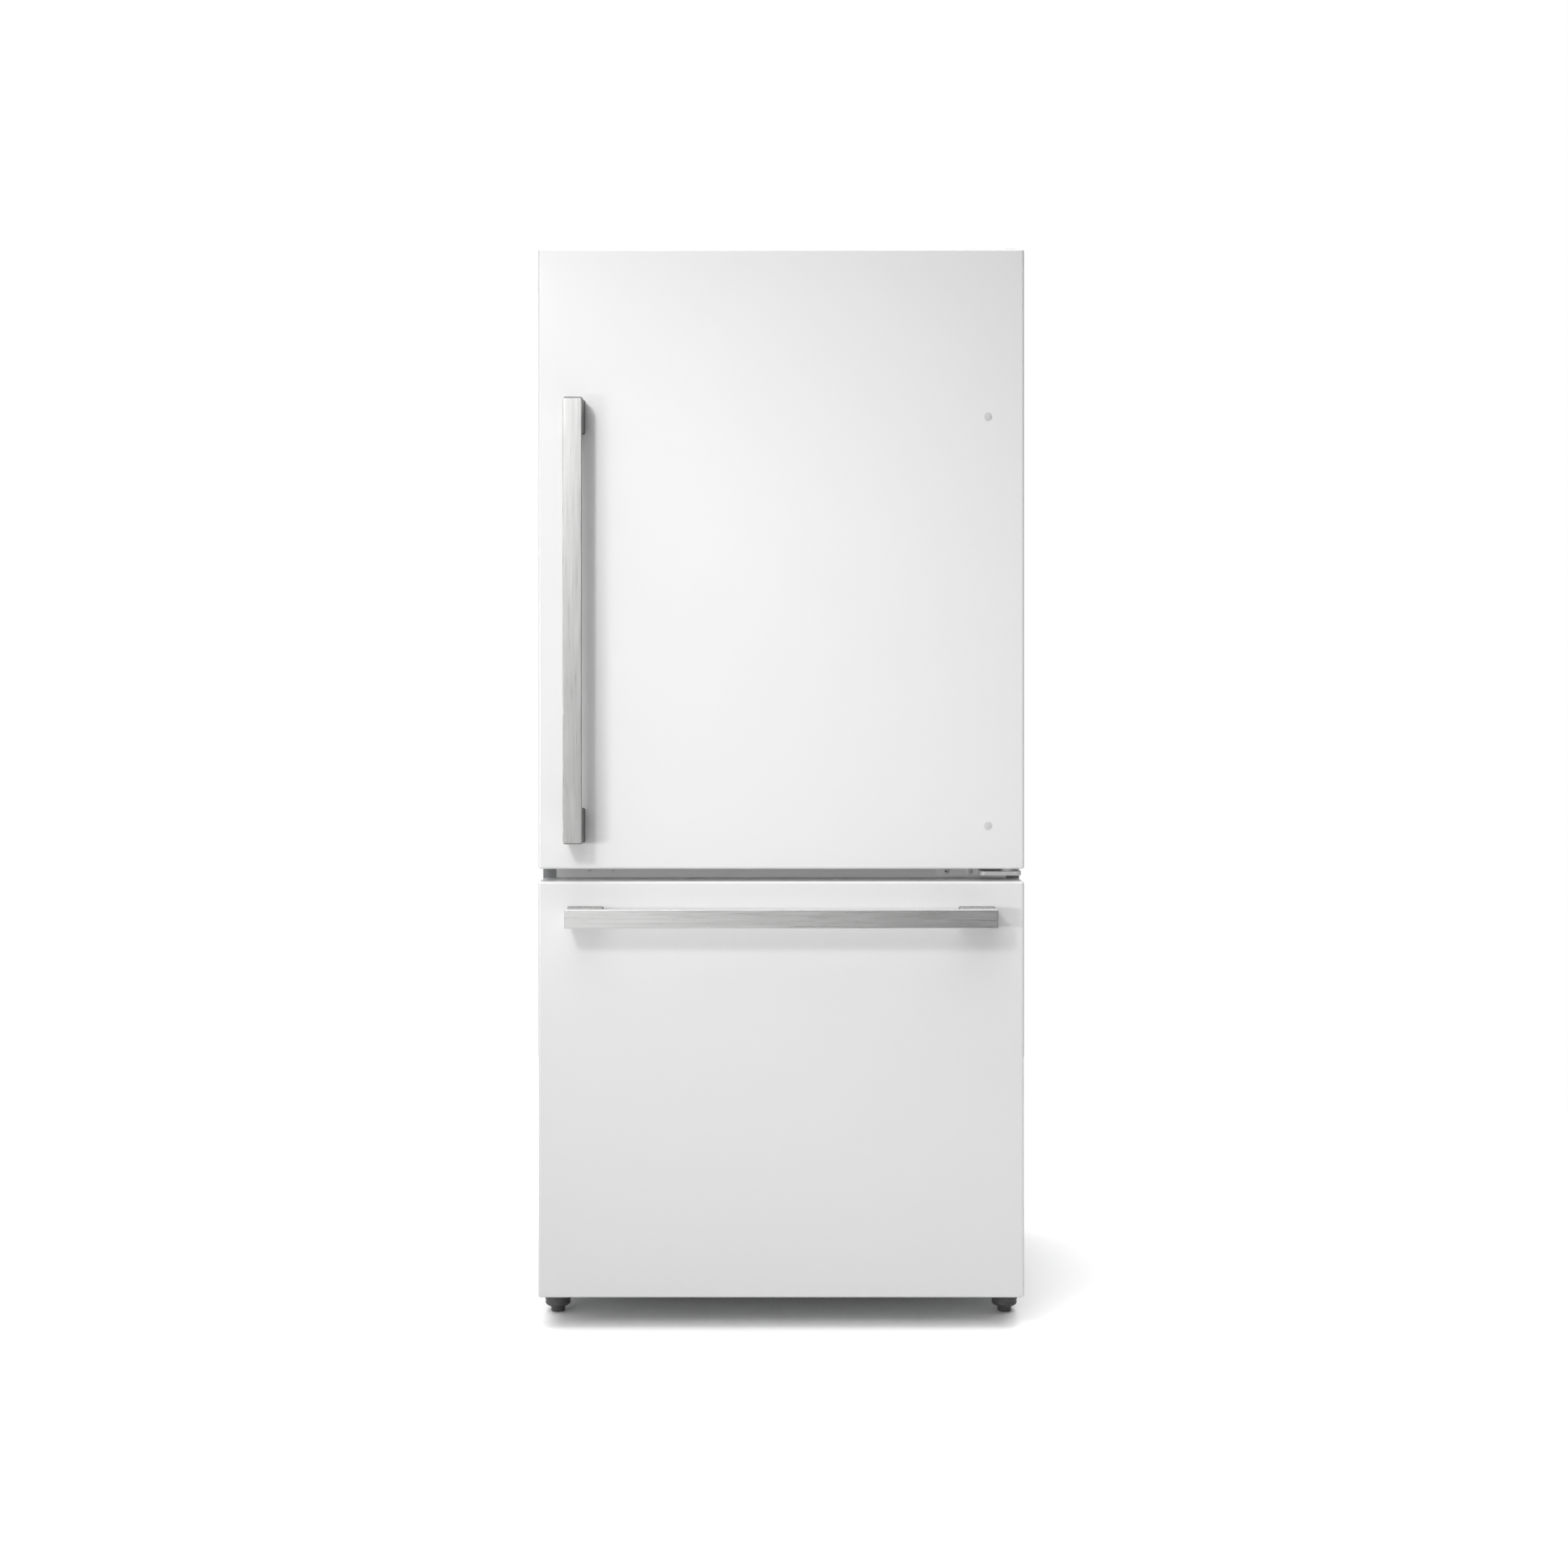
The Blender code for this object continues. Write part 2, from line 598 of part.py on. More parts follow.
def humidity_slider(side, mat):
    name = "humidity_slider_left" if side < 0 else "humidity_slider_right"
    x = side * SLIDER_X
    pivot = empty(name + "_start", (x, -0.127, CRISPER_COVER_Z + 0.005))
    z = (CRISPER_COVER_Z + 0.0005, CRISPER_COVER_Z + 0.0095)
    knob = block((x - 0.014, x + 0.014), (-0.1285, -0.1243), z, 0.001, 1)
    grip = block((x - 0.0015, x + 0.0015), (-0.131, -0.127), grow(z, -0.0005))
    solid(name, mat, [knob, grip], pivot=pivot)


# ---------------------------------------------------------------- feet and rollers
def front_foot(side, mat):
    name = "front_foot_left" if side < 0 else "front_foot_right"
    pivot = empty(name + "_axis", (side * FOOT[0], FOOT[1], 0.0))
    pad = [(0.0, 0.0), (0.0100, 0.0), (0.0114, 0.0016), (0.0118, 0.0110)]
    cup = [(0.0155, 0.0122), (0.0193, 0.0150), (0.0212, 0.0200), (0.0212, 0.0375), (0.0200, 0.0390)]
    stem = [(0.0055, 0.0390), (0.0055, 0.050), (0.0, 0.051)]
    profile = pad + cup + stem
    solid(name, mat, [turned(profile, (side * FOOT[0], FOOT[1], 0.0), "z", 24)], pivot=pivot)


def rear_roller(side, mat):
    name = "rear_roller_left" if side < 0 else "rear_roller_right"
    centre = (side * ROLLER[0], ROLLER[1], ROLLER_R)
    pivot = empty(name + "_axis", centre)
    half, edge = 0.008, 0.0015
    rim = [(ROLLER_R - edge, -half), (ROLLER_R, edge - half)]
    profile = rim + [(radius, -height) for radius, height in reversed(rim)]
    bore = rod(centre, 0.0045, (-0.02, 0.02), "x", 16)
    solid(name, mat, [turned(profile, centre, "x", 24)], [bore], pivot=pivot)


# ---------------------------------------------------------------- door and drawer fronts
def front_edges(front_y):
    """Chooser for the edges round the front face and the four corner edges that run back from it."""
    round_front = on_face(1, front_y)
    corners = along(1)
    return lambda edge: round_front(edge) or corners(edge)


def front_skin(name, z, mat, pivot, holes=()):
    """Folded steel pan, open at the back, with a rounded edge all round the front."""
    wall = DOOR_SHEET
    chosen = front_edges(DOOR_FRONT_Y)
    pan = block((-DOOR_X, DOOR_X), (DOOR_FRONT_Y, DOOR_BACK_Y), z, DOOR_EDGE_R, 3, chosen)
    inner = block((-DOOR_X + wall, DOOR_X - wall), (DOOR_FRONT_Y + wall, 0.0), grow(z, -wall),
                  DOOR_EDGE_R - wall, 3, front_edges(DOOR_FRONT_Y + wall))
    solid(name, mat, [pan], [inner, *holes], pivot=pivot)


def front_foam(name, z, mat, pivot, holes=()):
    gap = DOOR_SHEET + GAP
    core = block((-DOOR_X + gap, DOOR_X - gap), (DOOR_FRONT_Y + gap, DOOR_BACK_Y), grow(z, -gap),
                 DOOR_EDGE_R - gap + 0.0006, 3, front_edges(DOOR_FRONT_Y + gap))
    solid(name, mat, [core], holes, pivot=pivot)


def liner_plate(z):
    """Flat rear plate of a door or drawer liner, which covers the skin's rear edge."""
    edge = DOOR_X - 0.0005
    y = (DOOR_BACK_Y + GAP, LINER_BACK_Y)
    return block((-edge, edge), y, grow(z, -0.0005), DOOR_EDGE_R, 3, along(1))


def front_gasket(name, outer_x, outer_z, inner_x, inner_z, mat, pivot):
    y = (LINER_BACK_Y + GAP, FRONT_Y - GAP)
    ring = block((-outer_x, outer_x), y, outer_z, 0.004, 2, along(1))
    middle = block((-inner_x, inner_x), (-0.3, 0.0), inner_z)
    solid(name, mat, [ring], [middle], pivot=pivot)


def handle_bar(name, x, z, mat, pivot):
    solid(name, mat, [block(x, (HANDLE_Y, HANDLE_Y + BAR_DEPTH), z, 0.0012, 2)], pivot=pivot)


def handle_post(name, x, z, mat, pivot, chosen):
    """Block between a bar and the front, with its outer corners rounded."""
    y = (HANDLE_Y + BAR_DEPTH + GAP, DOOR_FRONT_Y - GAP)
    solid(name, mat, [block(x, y, z, 0.005, 3, chosen)], pivot=pivot)


def hinge_hole(z, depth):
    """Blind hole for a hinge pin, from an end face of the door inwards."""
    low, high = sorted((z, z + depth))
    return rod((*HINGE, 0.0), 0.006, (low, high))


def fridge_door(mats):
    pivot = empty("fridge_door_hinge", (*HINGE, 1.25))
    low, high = DOOR_Z
    ways = [(high + 0.01, -0.031), (low - 0.01, 0.031)]
    front_skin("door_skin", DOOR_Z, mats["white"], pivot, [hinge_hole(*way) for way in ways])
    front_foam("door_foam", DOOR_Z, mats["foam"], pivot, [hinge_hole(*way) for way in ways])
    plate = liner_plate(DOOR_Z)
    ridge_y = -0.205
    dyke = block((-0.328, 0.328), (LINER_BACK_Y - 0.0005, ridge_y), (0.800, 1.655), 0.008, 2,
                 on_face(1, ridge_y))
    pocket = block((-0.303, 0.303), (LINER_BACK_Y, -0.1), (0.825, 1.630))
    solid("door_liner", mats["liner"], [plate, dyke], [pocket], pivot=pivot)
    front_gasket("door_gasket", GASKET_X, (0.7508, 1.700), 0.352, (0.7698, 1.681), mats["gasket"], pivot)
    handle_bar("door_handle_bar", DOOR_BAR_X, DOOR_BAR_Z, mats["steel"], pivot)
    for name, end, inward in (("upper", DOOR_BAR_Z[1], -1), ("lower", DOOR_BAR_Z[0], 1)):
        z = tuple(sorted((end, end + inward * POST_LENGTH)))
        handle_post("door_handle_post_" + name, DOOR_BAR_X, z, mats["post"], pivot, on_face(2, end))
    tub("door_bin_lower", mats["clear"], BIN_X, (BIN_REAR_Y, -0.142), (1.005, 1.100), BIN_WALL, pivot)
    tub("door_bin_upper", mats["clear"], BIN_X, (BIN_REAR_Y, -0.142), (1.262, 1.342), BIN_WALL, pivot)
    tub("dairy_bin", mats["clear"], BIN_X, (BIN_REAR_Y, -0.150), (1.460, 1.524), BIN_WALL, pivot)
    dairy_lid(mats["clear"])


def dairy_lid(mat):
    """Flap over the dairy bin, on two stub pins near the door."""
    pivot = empty("dairy_lid_hinge", DAIRY_PIVOT)
    low, high = DAIRY_PIVOT[2] - 0.0015, DAIRY_PIVOT[2] + 0.0015
    top = block((-0.299, 0.299), (-0.240, -0.143), (low, high))
    front = block((-0.299, 0.299), (-0.146, -0.143), (high - 0.043, high))
    pin = rod((0.0, *DAIRY_PIVOT[1:]), 0.0014, (-0.302, 0.302), "x", 12)
    solid("dairy_lid", mat, [top, front, pin], pivot=pivot)


def freezer_drawer(mats):
    pivot = empty("freezer_drawer_slide", (0.0, DOOR_BACK_Y, RAIL_Z))
    front_skin("drawer_skin", DRAWER_Z, mats["white"], pivot)
    front_foam("drawer_foam", DRAWER_Z, mats["foam"], pivot)
    plate = liner_plate(DRAWER_Z)
    raised_y = -0.228
    raised = block((-0.298, 0.298), (LINER_BACK_Y - 0.0005, raised_y), (0.130, 0.660), 0.008, 2,
                   on_face(1, raised_y))
    solid("drawer_liner", mats["liner"], [plate, raised], pivot=pivot)
    front_gasket("drawer_gasket", GASKET_X, (0.088, 0.722), 0.341, (0.107, 0.705), mats["gasket"], pivot)
    handle_bar("drawer_handle_bar", (-DRAWER_BAR_X, DRAWER_BAR_X), DRAWER_BAR_Z, mats["steel"], pivot)
    for name, side in (("left", -1), ("right", 1)):
        x = both((DRAWER_BAR_X - POST_LENGTH, DRAWER_BAR_X), side)
        handle_post("drawer_handle_post_" + name, x, DRAWER_BAR_Z, mats["post"], pivot,
                    on_face(0, side * DRAWER_BAR_X))
        inner_rail("rail_inner_" + name, side, mats["zinc"], pivot)
    tub("freezer_basket", mats["basket"], (-0.300, 0.300), (-0.214, 0.125), BASKET_Z, 0.003, pivot,
        0.016, (0.0175, 0.0032))


# ---------------------------------------------------------------- drawer slides
def channel(x, y, half_height, wall, side):
    """C-shaped rail, open towards the middle of the appliance; x runs from its lips to its web."""
    web = block(both((x[1] - wall, x[1]), side), y, (RAIL_Z - half_height, RAIL_Z + half_height))
    parts = [web]
    for sign in (-1, 1):
        edge = sorted((RAIL_Z + sign * half_height, RAIL_Z + sign * (half_height - wall)))
        parts.append(block(both((x[0], x[1] - wall * 0.5), side), y, tuple(edge)))
    return parts


def outer_rail(side, mat):
    name = "rail_outer_left" if side < 0 else "rail_outer_right"
    solid(name, mat, channel((0.322, 0.3345), (-0.215, 0.195), 0.020, 0.0015, side))


def mid_rail(side, mat):
    name = "rail_mid_left" if side < 0 else "rail_mid_right"
    pivot = empty(name + "_slide", (side * 0.3255, -0.213, RAIL_Z))
    solid(name, mat, channel((0.320, 0.331), (-0.213, 0.170), 0.017, 0.0015, side), pivot=pivot)


def inner_rail(name, side, mat, pivot):
    bar = block(both((0.318, 0.327), side), (-0.2427, 0.150), (RAIL_Z - 0.0135, RAIL_Z + 0.0135))
    bracket = block(both((0.303, 0.3265), side), (-0.2427, -0.2397), (RAIL_Z - 0.030, RAIL_Z + 0.030))
    solid(name, mat, [bar, bracket], pivot=pivot)


# ---------------------------------------------------------------- assembly
def make_materials():
    return {
        "white": material("white_paint", (0.86, 0.86, 0.86), 0.32),
        "cabinet": material("grey_paint", (0.20, 0.205, 0.21), 0.45),
        "steel": material("brushed_steel", (0.56, 0.56, 0.56), 0.30, 1.0),
        "post": material("steel_post", (0.45, 0.45, 0.45), 0.36, 1.0),
        "zinc": material("zinc_steel", (0.55, 0.56, 0.57), 0.35, 1.0),
        "black": material("black_paint", (0.03, 0.03, 0.03), 0.45),
        "dark": material("dark_plastic", (0.06, 0.06, 0.062), 0.5),
        "liner": material("white_liner", (0.82, 0.83, 0.83), 0.40),
        "rail": material("grey_rail", (0.42, 0.42, 0.42), 0.42),
        "foam": material("foam", (0.85, 0.74, 0.45), 0.9),
        "gasket": material("gasket", (0.55, 0.55, 0.55), 0.6),
        "clear": material("clear_plastic", (0.75, 0.80, 0.82), 0.12),
        "glass": material("glass", (0.70, 0.80, 0.78), 0.05),
        "basket": material("basket_plastic", (0.80, 0.81, 0.82), 0.45),
        "copper": material("copper_tube", (0.62, 0.32, 0.18), 0.35, 1.0),
        "aluminium": material("aluminium_fins", (0.70, 0.71, 0.72), 0.35, 1.0),
    }


def build():
    clear_scene()
    mats = make_materials()
    cabinet_shell(mats["cabinet"])
    insulation_foam(mats["foam"])
    fridge_liner(mats["liner"])
    freezer_liner(mats["liner"])
    mullion_rail(mats["rail"])
    base_plate(mats["zinc"])
    back_panel(mats["zinc"])
    machine_cover(mats["black"])
    power_cord_gland(mats["black"])
    top_hinge(mats["zinc"])
    top_hinge_cover(mats["cabinet"])
    middle_hinge(mats["zinc"])
    compressor_base(mats["zinc"])
    compressor(mats["black"])
    condenser_coil(mats["copper"])
    condenser_fan_shroud(mats["dark"])
    fan_wheel(CONDENSER_FAN, "x", 0.064, 0.020, 0.022, 5, mats["dark"], "condenser_fan", 0.0034,
              empty("condenser_fan_axis", CONDENSER_FAN))
    evaporator(mats["aluminium"])
    evaporator_cover(mats["liner"])
    fan_wheel(EVAPORATOR_FAN, "y", 0.055, 0.016, 0.018, 5, mats["dark"], "evaporator_fan", 0.0034,
              empty("evaporator_fan_axis", EVAPORATOR_FAN))
    air_duct(mats["liner"])
    control_panel(mats["liner"])
    crisper_cover(mats["glass"])
    shelf("shelf_lower", SHELF_Z[0], mats["glass"])
    shelf("shelf_upper", SHELF_Z[1], mats["glass"])
    for side in (-1, 1):
        word = "left" if side < 0 else "right"
        slide = empty("crisper_%s_slide" % word, (side * SLIDER_X, CRISPER_Y[0], CRISPER_Z[0]))
        crisper(side, mats["clear"], slide)
        humidity_slider(side, mats["dark"])
        front_foot(side, mats["black"])
        rear_roller(side, mats["black"])
        outer_rail(side, mats["zinc"])
        mid_rail(side, mats["zinc"])
    tub("freezer_tray", mats["basket"], (-0.300, 0.300), (-0.205, 0.200), TRAY_Z, 0.003,
        empty("freezer_tray_slide", (0.0, -0.205, TRAY_Z[1])), 0.014, (0.028, 0.003))
    fridge_door(mats)
    freezer_drawer(mats)


build()
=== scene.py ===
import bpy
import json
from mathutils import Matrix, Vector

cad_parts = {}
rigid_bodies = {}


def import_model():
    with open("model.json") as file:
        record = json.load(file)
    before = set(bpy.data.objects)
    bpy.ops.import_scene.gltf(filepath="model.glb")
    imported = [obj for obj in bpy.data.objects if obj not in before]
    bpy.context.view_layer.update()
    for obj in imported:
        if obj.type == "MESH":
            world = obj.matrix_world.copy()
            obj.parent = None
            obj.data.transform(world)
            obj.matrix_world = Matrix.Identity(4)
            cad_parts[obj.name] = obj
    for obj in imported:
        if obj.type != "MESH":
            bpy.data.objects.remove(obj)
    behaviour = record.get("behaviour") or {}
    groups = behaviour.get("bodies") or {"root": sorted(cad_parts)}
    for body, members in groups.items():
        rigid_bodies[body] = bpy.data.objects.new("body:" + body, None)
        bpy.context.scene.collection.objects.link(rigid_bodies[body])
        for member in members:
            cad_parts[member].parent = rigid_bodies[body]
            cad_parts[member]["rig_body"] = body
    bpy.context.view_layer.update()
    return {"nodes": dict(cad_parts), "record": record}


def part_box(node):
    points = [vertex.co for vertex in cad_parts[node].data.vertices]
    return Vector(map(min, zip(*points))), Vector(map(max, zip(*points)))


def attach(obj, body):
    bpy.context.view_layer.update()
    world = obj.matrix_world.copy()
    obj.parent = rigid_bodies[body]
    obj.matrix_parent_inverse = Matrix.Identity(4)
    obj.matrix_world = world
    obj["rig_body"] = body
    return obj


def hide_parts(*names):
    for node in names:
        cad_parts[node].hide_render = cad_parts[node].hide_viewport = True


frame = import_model()

import json
import math

import bmesh
import bpy
from mathutils import Matrix, Vector

# Looks of a bottom-freezer refrigerator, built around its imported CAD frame. Metres, +Z up, front faces -Y.

NODES = frame["nodes"]
MM = 0.001
DOWN = Vector((0, 0, -1))

# Studio: strengths of the surroundings, power of the lamps in watts, and the floor's two tones.
OVERHEAD = 2.9
WALL = 0.58
BACK_WALL = 0.35
AMBIENT = 0.07
KEY_WATTS = 2.4
SOFT_WATTS = 3.0
STRIP_WATTS = 2.4
FILL_WATTS = 1.65
FLOOR_SEEN = (1.3, 1.3, 1.3)
FLOOR_THROWN = (0.72, 0.72, 0.72)
FLOOR_RADIUS = 2.4

# Camera: focal length and sensor width in mm, then its distance before the doors, height and shift.
LENS_MM = 49.575
SENSOR_MM = 36.0
CAMERA_DISTANCE = 3.5
CAMERA_HEIGHT = 1.0376
CAMERA_SHIFT = (0.0018, -0.0600)

# Front panels and handles.
PANEL_WALL = 1 * MM
PANEL_EDGE = 4 * MM
PIN_HOLE = 6 * MM
POST_CORNER = 2.6 * MM
POST_TRIM = {2: 5 * MM, 0: 2.5 * MM}
PAD_MARGIN = 0.5 * MM
CAP_X = 0.335
CAP_INSET = 26 * MM

# Cross rail and middle hinge.
RAIL_PLUG_X = (-0.3200, -0.2800)
RAIL_PLUG_Z = 0.7395
RAIL_HOLE = (-0.3325, 0.7425)
HINGE_SCREW_X = (0.2725, 0.312)
HINGE_SCREW_Z = 0.7372
HINGE_THICKNESS = 3.5 * MM
COLLAR_Z = 0.7412

# Inside the fridge: the top of each shelf, the run of its glass, and the ceiling.
SHELF_TOP = {"crisper_cover": 0.987, "shelf_lower": 1.215, "shelf_upper": 1.440}
GLASS_Y = (-0.1165, 0.2900)
CEILING = 1.678
LENS_X = (-0.140, 0.140)
LENS_Y = (0.040, 0.120)
KEY_Y = -0.105
KEY_MARK_Y = (-0.078, -0.075)
BASKET_WALL_X = 0.300
BASKET_BACK_Y = 0.1245

# Back screws, and the pan over the compressor.
BACK_SCREW_X = 0.385
BACK_SCREW_Z = (0.30, 0.66, 1.02, 1.38, 1.70)
PAN_X = (-0.285, -0.115)
PAN_Y = (0.205, 0.345)
PAN_Z = (0.2215, 0.2415)
PAN_WALL = 2 * MM


# ---------------------------------------------------------------- material tools
class Surface:
    """A Principled material with small helpers for procedural detail in the object's own space."""

    def __init__(self, name, colour, roughness, metallic=0.0, **sockets):
        self.mat = bpy.data.materials.new(name)
        self.mat.use_nodes = True
        self.tree = self.mat.node_tree
        self.shader = self.tree.nodes["Principled BSDF"]
        self.shader.inputs["Base Color"].default_value = (*colour, 1.0)
        self.shader.inputs["Roughness"].default_value = roughness
        self.shader.inputs["Metallic"].default_value = metallic
        for key, value in sockets.items():
            self.shader.inputs[key.replace("_", " ")].default_value = value
        self.coords = self.tree.nodes.new("ShaderNodeTexCoord").outputs["Object"]
        self.mat.diffuse_color = (*colour, 1.0)

    def link(self, a, b):
        self.tree.links.new(a, b)

    def stretched(self, scale):
        mapping = self.tree.nodes.new("ShaderNodeMapping")
        mapping.inputs["Scale"].default_value = scale
        self.link(self.coords, mapping.inputs["Vector"])
        return mapping.outputs["Vector"]

    def noise(self, scale, detail=3.0, rough=0.5, stretch=None):
        node = self.tree.nodes.new("ShaderNodeTexNoise")
        node.inputs["Scale"].default_value = scale
        node.inputs["Detail"].default_value = detail
        node.inputs["Roughness"].default_value = rough
        self.link(self.stretched(stretch) if stretch else self.coords, node.inputs["Vector"])
        return node.outputs["Fac"]

    def cells(self, scale):
        node = self.tree.nodes.new("ShaderNodeTexVoronoi")
        node.inputs["Scale"].default_value = scale
        self.link(self.coords, node.inputs["Vector"])
        return node.outputs["Distance"]

    def remap(self, source, low, high, start=0.3, stop=0.7):
        node = self.tree.nodes.new("ShaderNodeMapRange")
        node.inputs["From Min"].default_value = start
        node.inputs["From Max"].default_value = stop
        node.inputs["To Min"].default_value = low
        node.inputs["To Max"].default_value = high
        self.link(source, node.inputs["Value"])
        return node.outputs["Result"]

    def blend_colour(self, factor, dark, light):
        node = self.tree.nodes.new("ShaderNodeMix")
        node.data_type = "RGBA"
        node.inputs["A"].default_value = (*dark, 1.0)
        node.inputs["B"].default_value = (*light, 1.0)
        self.link(factor, node.inputs["Factor"])
        self.link(node.outputs["Result"], self.shader.inputs["Base Color"])

    def roughness(self, source, low, high):
        self.link(self.remap(source, low, high), self.shader.inputs["Roughness"])

    def bump(self, source, strength, distance):
        node = self.tree.nodes.new("ShaderNodeBump")
        node.inputs["Strength"].default_value = strength
        node.inputs["Distance"].default_value = distance
        self.link(source, node.inputs["Height"])
        if self.shader.inputs["Normal"].is_linked:
            self.link(self.shader.inputs["Normal"].links[0].from_socket, node.inputs["Normal"])
        self.link(node.outputs["Normal"], self.shader.inputs["Normal"])

    def add(self, a, b, weight):
        node = self.tree.nodes.new("ShaderNodeMath")
        node.operation = "MULTIPLY_ADD"
        self.link(a, node.inputs[0])
        node.inputs[1].default_value = weight
        self.link(b, node.inputs[2])
        return node.outputs[0]


def shade(colour, factor):
    return tuple(channel * factor for channel in colour)


def white_paint():
    """Satin enamel: faint orange peel, and slow cloudy change in gloss and tone."""
    colour = (0.81, 0.81, 0.81)
    surface = Surface("white_enamel", colour, 0.34, Coat_Weight=0.25, Coat_Roughness=0.16)
    cloud = surface.noise(2.6, 4.0)
    surface.blend_colour(surface.remap(cloud, 0.0, 1.0), shade(colour, 0.992), colour)
    surface.roughness(surface.noise(9.0, 5.0), 0.30, 0.38)
    surface.bump(surface.noise(420.0, 2.0), 0.05, 0.0003)
    return surface.mat


def pebbled_paint(name, colour, roughness):
    """Textured powder paint, with fine raised grain and a slightly uneven tone."""
    surface = Surface(name, colour, roughness)
    surface.blend_colour(surface.remap(surface.noise(14.0, 5.0), 0.0, 1.0), shade(colour, 0.9), colour)
    surface.roughness(surface.noise(60.0, 4.0), roughness - 0.07, roughness + 0.07)
    surface.bump(surface.cells(900.0), 0.25, 0.0002)
    return surface.mat


def smooth_paint(name, colour, roughness):
    surface = Surface(name, colour, roughness)
    surface.blend_colour(surface.remap(surface.noise(11.0, 3.0), 0.0, 1.0), shade(colour, 0.955), colour)
    surface.roughness(surface.noise(35.0, 4.0), roughness - 0.05, roughness + 0.06)
    surface.bump(surface.noise(300.0, 2.0), 0.08, 0.0003)
    return surface.mat


def brushed(name, axis, colour, low=0.26, high=0.38):
    """Brushed stainless steel; the hairlines run along the given axis, and gloss streaks across them."""
    surface = Surface(name, colour, 0.32, 1.0, Anisotropic=0.75)
    tangent = surface.tree.nodes.new("ShaderNodeTangent")
    tangent.direction_type = "RADIAL"
    tangent.axis = "X" if axis == 2 else "Z"
    surface.link(tangent.outputs["Tangent"], surface.shader.inputs["Tangent"])
    fine = [1100.0, 1100.0, 1100.0]
    broad = [330.0, 330.0, 330.0]
    fine[axis] = 11.0
    broad[axis] = 3.0
    hair = surface.noise(1.0, 4.0, 0.65, fine)
    band = surface.noise(1.0, 3.0, 0.5, broad)
    both = surface.add(band, hair, 0.6)
    surface.blend_colour(surface.remap(both, 0.0, 1.0, 0.55, 1.05), shade(colour, 0.74), colour)
    surface.roughness(hair, low, high)
    surface.bump(hair, 0.10, 0.00006)
    return surface.mat


def zinc_plate():
    """Zinc-plated steel with soft spangles and rubbed spots."""
    colour = (0.60, 0.61, 0.62)
    surface = Surface("zinc_plate", colour, 0.34, 1.0)
    spangle = surface.add(surface.noise(6.0, 3.0), surface.cells(160.0), 0.5)
    surface.blend_colour(surface.remap(spangle, 0.0, 1.0, 0.2, 1.0), shade(colour, 0.88), colour)
    surface.roughness(surface.noise(45.0, 4.0), 0.32, 0.44)
    surface.bump(surface.noise(600.0, 2.0), 0.06, 0.0002)
    return surface.mat


def moulded(name, colour, roughness, grain=500.0, depth=0.06, **sockets):
    """Moulded plastic: fine skin texture and faint flow marks."""
    surface = Surface(name, colour, roughness, **sockets)
    flow = surface.noise(5.0, 3.0, 0.5, (1.0, 1.0, 0.35))
    surface.blend_colour(surface.remap(flow, 0.0, 1.0), shade(colour, 0.965), colour)
    surface.roughness(surface.noise(40.0, 4.0), roughness - 0.05, roughness + 0.06)
    surface.bump(surface.noise(grain, 2.0), depth, 0.0003)
    return surface.mat


def see_through(name, colour, roughness, cover, grain=45.0):
    """Thin clear sheet: the share of light that it stops is its cover; the surface keeps a soft gloss."""
    surface = Surface(name, colour, roughness, Alpha=cover, Coat_Weight=0.4, Coat_Roughness=0.05)
    surface.blend_colour(surface.remap(surface.noise(3.0, 3.0), 0.0, 1.0), shade(colour, 0.96), colour)
    surface.roughness(surface.noise(30.0, 4.0), 0.7 * roughness, 1.5 * roughness)
    surface.bump(surface.noise(grain, 3.0), 0.03, 0.0005)
    return surface.mat


def soft_rubber(name, colour):
    roughness = 0.62
    surface = Surface(name, colour, roughness, Sheen_Weight=0.12)
    surface.blend_colour(surface.remap(surface.noise(30.0, 5.0), 0.0, 1.0), shade(colour, 0.88), colour)
    surface.roughness(surface.noise(120.0, 4.0), roughness - 0.08, roughness + 0.08)
    surface.bump(surface.noise(900.0, 2.0), 0.12, 0.0002)
    return surface.mat


def copper():
    colour = (0.72, 0.38, 0.24)
    surface = Surface("copper_tube", colour, 0.3, 1.0)
    stain = surface.noise(38.0, 6.0, 0.6)
    surface.blend_colour(surface.remap(stain, 0.0, 1.0), (0.34, 0.17, 0.11), colour)
    surface.roughness(stain, 0.5, 0.24)
    surface.bump(surface.noise(500.0, 2.0), 0.05, 0.0002)
    return surface.mat


def fins():
    colour = (0.74, 0.75, 0.76)
    surface = Surface("aluminium_fins", colour, 0.34, 1.0)
    surface.blend_colour(surface.remap(surface.noise(50.0, 5.0), 0.0, 1.0), shade(colour, 0.8), colour)
    surface.roughness(surface.noise(200.0, 3.0), 0.26, 0.44)
    surface.bump(surface.noise(700.0, 2.0), 0.05, 0.0002)
    return surface.mat


def foam():
    colour = (0.86, 0.74, 0.44)
    surface = Surface("insulating_foam", colour, 0.9)
    pores = surface.cells(350.0)
    surface.blend_colour(surface.remap(surface.noise(60.0, 6.0), 0.0, 1.0), (0.70, 0.56, 0.28), colour)
    surface.roughness(surface.noise(90.0, 3.0), 0.82, 0.95)
    surface.bump(pores, 0.5, 0.0008)
    return surface.mat


def floor_paint():
    """Pale studio floor: it looks white, and throws only a moderate light back up at the object."""
    surface = Surface("pale_floor", FLOOR_SEEN, 0.75)
    surface.blend_colour(surface.tree.nodes.new("ShaderNodeLightPath").outputs["Is Camera Ray"],
                         FLOOR_THROWN, FLOOR_SEEN)
    surface.roughness(surface.noise(6.0, 4.0), 0.72, 0.82)
    surface.bump(surface.noise(80.0, 3.0), 0.02, 0.0004)
    return surface.mat


